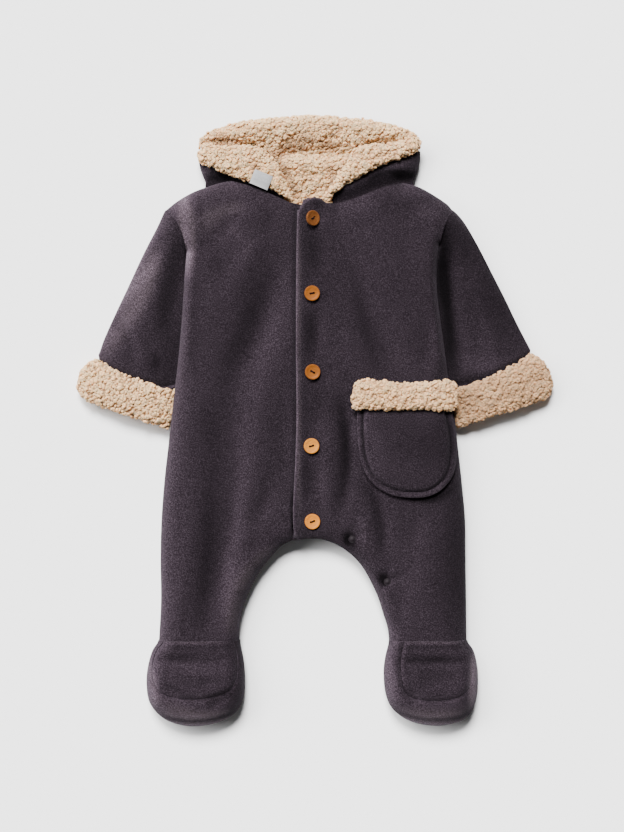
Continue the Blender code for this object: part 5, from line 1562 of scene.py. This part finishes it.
BUTTON_TONES = (  # dark and light of the wood's grain, from the top button down
    ((0.062, 0.0185, 0.0042), (0.124, 0.0440, 0.0110)),
    ((0.110, 0.032, 0.0034), (0.186, 0.058, 0.0074)),
    ((0.103, 0.030, 0.0036), (0.174, 0.055, 0.0080)),
    ((0.255, 0.085, 0.0110), (0.395, 0.155, 0.0225)),
    ((0.268, 0.084, 0.0090), (0.408, 0.143, 0.0165)),
)
BUTTON_FACE = (  # radius, height: from the face's middle out over the rolled rim
    (0.0, 2.55), (3.6, 2.6), (5.2, 2.75), (5.9, 3.15), (6.6, 3.3), (7.3, 3.05),
)
FACE_RINGS = (3.6, 4.5, 5.2, 5.9)
BUTTON_SIDE = ((7.7, 2.4), (7.75, 1.6), (7.4, 0.7))
BUTTON_FOOT = (6.6, 0.15)
BUTTON_THICK = 3.3
HOLE_RADIUS, HOLE_APART, HOLE_CLEAR, ROUND = 1.15, 3.4, 0.35, 48


def button_mesh(name, looks, place):
    """A turned wooden button: rolled rim, dished face, and two holes right through."""
    ring = circle(ROUND)
    holes = [ring[::3] * HOLE_RADIUS + (sign * HOLE_APART / 2, 0) for sign in (-1, 1)]
    inner = np.vstack([ring[::2] * radius for radius in FACE_RINGS] + [np.zeros((1, 2))])
    from_holes = [np.linalg.norm(inner - (sign * HOLE_APART / 2, 0), axis=1) for sign in (-1, 1)]
    inner = inner[np.min(from_holes, axis=0) > HOLE_RADIUS + HOLE_CLEAR]
    face_radii, face_heights = zip(*BUTTON_FACE)
    widest = face_radii[-1]
    plan, faces = triangles_in(ring * widest, inner, holes)
    count = len(plan)
    radius = np.linalg.norm(plan, axis=1)
    drawn_in = 1 - (1 - BUTTON_FOOT[0] / widest) * (radius / widest) ** 4
    points = [np.column_stack([plan, np.interp(radius, face_radii, face_heights)]),
              np.column_stack([plan * drawn_in[:, None], BUTTON_FOOT[1] * (radius / widest) ** 2])]
    points += [np.column_stack([ring * out, np.full(ROUND, height)]) for out, height in BUTTON_SIDE]
    shell = shell_faces(count, faces)
    spans = (shell.min(axis=1) < count) & (shell.max(axis=1) >= count)
    side_wall = spans & np.all(shell % count < ROUND, axis=1)
    at = np.arange(ROUND)
    rings = [count + at] + [2 * count + i * ROUND + at for i in range(len(BUTTON_SIDE))][::-1] + [at]
    return add_mesh(name, np.vstack(points), np.vstack([shell[~side_wall], band_faces(rings)]), looks, "wood",
                    sharp=45, place=place)


def strand(name, ends, looks, place):
    """A short arched thread between two points."""
    a, b = (np.array(end, float) for end in ends)
    t = np.linspace(0, 1, THREAD_STEPS)[:, None]
    spine = a + (b - a) * t + np.array([0, 0, 1.0]) * STITCH_RISE * np.sin(np.pi * t) ** 0.6
    thick = np.full(THREAD_STEPS, STITCH_THICK)
    points, rings, caps = rope(spine, thick, THREAD_SIDES, level=(0.02, 0.03, 1))
    faces = np.vstack([band_faces(rings[::-1]), caps])
    return add_mesh(name, points, faces, looks, "wood", sharp=180, place=place)


def upward_of(node):
    """Mean normal of a CAD node's faces that look up."""
    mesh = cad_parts[node].data
    total = Vector((0, 0, 0))
    for face in mesh.polygons:
        if face.normal.z > 0.8:
            total += face.normal * face.area
    return total.normalized()


BUTTON_TURNS = (35, 10, -30, 15, 20)  # of the holes' line, in degrees from +X
BUTTON_TILTS = (24, 0, 0, 0, 0)  # degrees by which a button's +X side presses into the cloth
TILT_LIFT = 0.03  # by which it rises for each degree
STITCHES = ((1, -0.35), (2, 0.4))  # each thread's number, and how far it lies beside the holes' line
STITCH_FROM, STITCH_SLANT, STITCH_RISE, STITCH_THICK = 1.6, 0.2, 1.35, 0.42
THREAD_SIDES, THREAD_STEPS = 8, 14
STUD_PROFILE = (  # radius, height: a shallow cap with a rolled rim, from its middle out and down
    (1.3, 2.05), (2.2, 1.6), (2.5, 1.0), (2.75, 0.95), (3.2, 1.25), (3.6, 1.0), (3.75, 0.3), (3.6, -1.2),
)
STUD_CROWN, STUD_SINK, STUD_SIDES = 2.2, 0.4, 28


def add_buttons():
    thread = make_plain("thread", (0.008, 0.005, 0.006), 0.85, specular=0.05)
    for i, (tones, turn, tilt) in enumerate(zip(BUTTON_TONES, BUTTON_TURNS, BUTTON_TILTS), 1):
        node = f"button_{i}"
        low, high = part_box(node)
        seated = Vector((0, 0, 1)).rotation_difference(upward_of(node))
        lean = Quaternion((0, 1, 0), math.radians(tilt)) @ seated
        foot = (low + high) / 2 - lean @ Vector((0, 0, BUTTON_THICK * MM / 2))
        foot.z += TILT_LIFT * tilt * MM
        place = Matrix.LocRotScale(foot, lean @ Quaternion((0, 0, 1), math.radians(turn)), None)
        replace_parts(button_mesh(f"wood_{node}", make_wood(f"wood_{i}", *tones), place), node)
        for number, beside in STITCHES:
            ends = [(side * (HOLE_APART / 2 - STITCH_SLANT), beside, STITCH_FROM) for side in (-1, 1)]
            strand(f"thread_{node}_{number}", ends, thread, place)


def add_studs():
    snap = make_plain("snap", (0.010, 0.007, 0.009), 0.6, specular=0.12)
    ring = circle(STUD_SIDES)
    at = np.arange(STUD_SIDES)
    rings = [1 + i * STUD_SIDES + at for i in range(len(STUD_PROFILE))]
    last = 1 + len(STUD_PROFILE) * STUD_SIDES
    faces = np.vstack([np.column_stack([np.zeros(STUD_SIDES, int), rings[0], np.roll(rings[0], -1)]),
                       band_faces(rings[::-1]),
                       np.column_stack([np.full(STUD_SIDES, last), np.roll(rings[-1], -1), rings[-1]])])
    rims = [np.column_stack([ring * radius, np.full(STUD_SIDES, height)]) for radius, height in STUD_PROFILE]
    points = np.vstack([(0, 0, STUD_CROWN), *rims, (0, 0, STUD_PROFILE[-1][1])])
    for i, stud in enumerate(STUDS, 1):
        foot = (*stud, front_left_top(np.array([stud]))[0] - STUD_SINK)
        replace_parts(add_mesh(f"snap_stud_{i}", points + foot, faces, snap, "stud", sharp=60), f"stud_{i}")


LABEL_MIDDLE, LABEL_TURN = Point(-53.5, 240.2), -23  # degrees from +X
LABEL_ACROSS, LABEL_ALONG = np.linspace(-9.6, 9.6, 19), np.linspace(-7.3, 7.3, 27)
LABEL_LIFT, LABEL_THICK, LABEL_SIDE_DROP = 0.9, 0.8, 0.9
LABEL_ON_PILE = 1.3  # the curls hold it clear of their base sheet
LABEL_STEEPEST, LABEL_EASINGS = 0.16, 14  # the stiff ribbon bridges whatever falls away faster
SATIN_DARK, SATIN_LIGHT = (0.21, 0.208, 0.212), (0.33, 0.327, 0.332)


def add_label():
    """A satin ribbon, bare, sewn over the lapel's lower edge."""
    s = Shader("satin", roughness=0.38, specular=0.25, sheen=0.1)
    weave = s.noise(700, detail=2, stretch=(6, 1, 1))
    s.colour(s.ramp(weave, (0.3, SATIN_DARK), (0.7, SATIN_LIGHT)))
    s.bump(weave, distance=0.00008, strength=0.6)
    columns, lines = len(LABEL_ACROSS), len(LABEL_ALONG)
    turn = math.radians(LABEL_TURN)
    axes = np.array([(math.cos(turn), math.sin(turn)), (-math.sin(turn), math.cos(turn))])
    plan = np.array([(u, v) for v in LABEL_ALONG for u in LABEL_ACROSS]) @ axes + LABEL_MIDDLE
    lapel = np.vstack([LAPEL_TOPS["right"][:-1], LAPEL_FEET["right"][:-1]])
    on_pile = lapel_top("right", plan) + LABEL_ON_PILE
    under = np.where(inside(lapel, plan), on_pile, side_top("right", plan))
    height = under.reshape(lines, columns).max(axis=1)
    fall = LABEL_STEEPEST * np.abs(LABEL_ALONG - LABEL_ALONG[height.argmax()])
    height = np.maximum(height, height.max() - fall)
    for _ in range(LABEL_EASINGS):
        eased = np.convolve(np.pad(height, 1, mode="edge"), (0.3, 0.4, 0.3), "valid")
        height = np.maximum(height, eased)
    drop = LABEL_SIDE_DROP * (LABEL_ACROSS / LABEL_ACROSS[-1]) ** 4
    z = (height[:, None] + LABEL_LIFT - drop).ravel()
    i, j = np.meshgrid(np.arange(lines - 1), np.arange(columns - 1), indexing="ij")
    a = (i * columns + j).ravel()
    faces = np.vstack([np.column_stack([a, a + 1, a + columns + 1]),
                       np.column_stack([a, a + columns + 1, a + columns])])
    points = np.vstack([np.column_stack([plan, z + LABEL_THICK]), np.column_stack([plan, z])])
    label = add_mesh("satin_label", points, shell_faces(len(plan), faces), s.material, "satin")
    lay(label, "label")


# ---- stage ----

Sun = namedtuple("Sun", "name azimuth elevation spread strength")
SUNS = rows(
    Sun,  # degrees from +X towards +Y, degrees up, and how wide the soft source looks
    ("top", 99, 51, 22, 10.3),
    ("top_left", 138, 44, 26, 3.3),
    ("left", 172, 30, 28, 2.3),
)
AMBIENT = 0.095
PAPER, PAPER_REACH, PAPER_Z = (0.92, 0.92, 0.92, 1), 30.0, -0.0003  # in metres
CAMERA_LENS, CAMERA_AT = 85, (-0.003, 0.0055, 1.9774)  # straight above, looking down


def add_stage():
    mesh = bpy.data.meshes.new("floor")
    reach = PAPER_REACH
    mesh.from_pydata([(-reach, -reach, 0), (reach, -reach, 0), (reach, reach, 0), (-reach, reach, 0)], [],
                     [(0, 1, 2, 3)])
    floor = bpy.data.objects.new("floor", mesh)
    floor.location.z = PAPER_Z
    bpy.context.scene.collection.objects.link(floor)
    s = Shader("paper", roughness=0.9, specular=0.1)
    s.set("Base Color", PAPER)
    mesh.materials.append(s.material)

    world = bpy.data.worlds.new("studio")
    world.use_nodes = True
    world.node_tree.nodes["Background"].inputs["Color"].default_value = (1.0, 1.0, 1.0, 1)
    world.node_tree.nodes["Background"].inputs["Strength"].default_value = AMBIENT
    bpy.context.scene.world = world
    for sun in SUNS:
        data = bpy.data.lights.new(sun.name, "SUN")
        data.angle, data.energy = math.radians(sun.spread), sun.strength
        light = bpy.data.objects.new(sun.name, data)
        around, up = math.radians(sun.azimuth), math.radians(sun.elevation)
        towards = Vector((math.cos(around) * math.cos(up), math.sin(around) * math.cos(up), math.sin(up)))
        light.location = 3.0 * towards
        light.rotation_euler = (-towards).to_track_quat("-Z", "Y").to_euler()
        bpy.context.scene.collection.objects.link(light)

    camera = bpy.data.objects.new("camera", bpy.data.cameras.new("camera"))
    camera.data.lens = CAMERA_LENS
    camera.location = CAMERA_AT
    bpy.context.scene.collection.objects.link(camera)
    bpy.context.scene.camera = camera


add_stage()
add_body()
add_arms()
add_hood()
add_feet()
add_pocket()
add_buttons()
add_studs()
add_label()
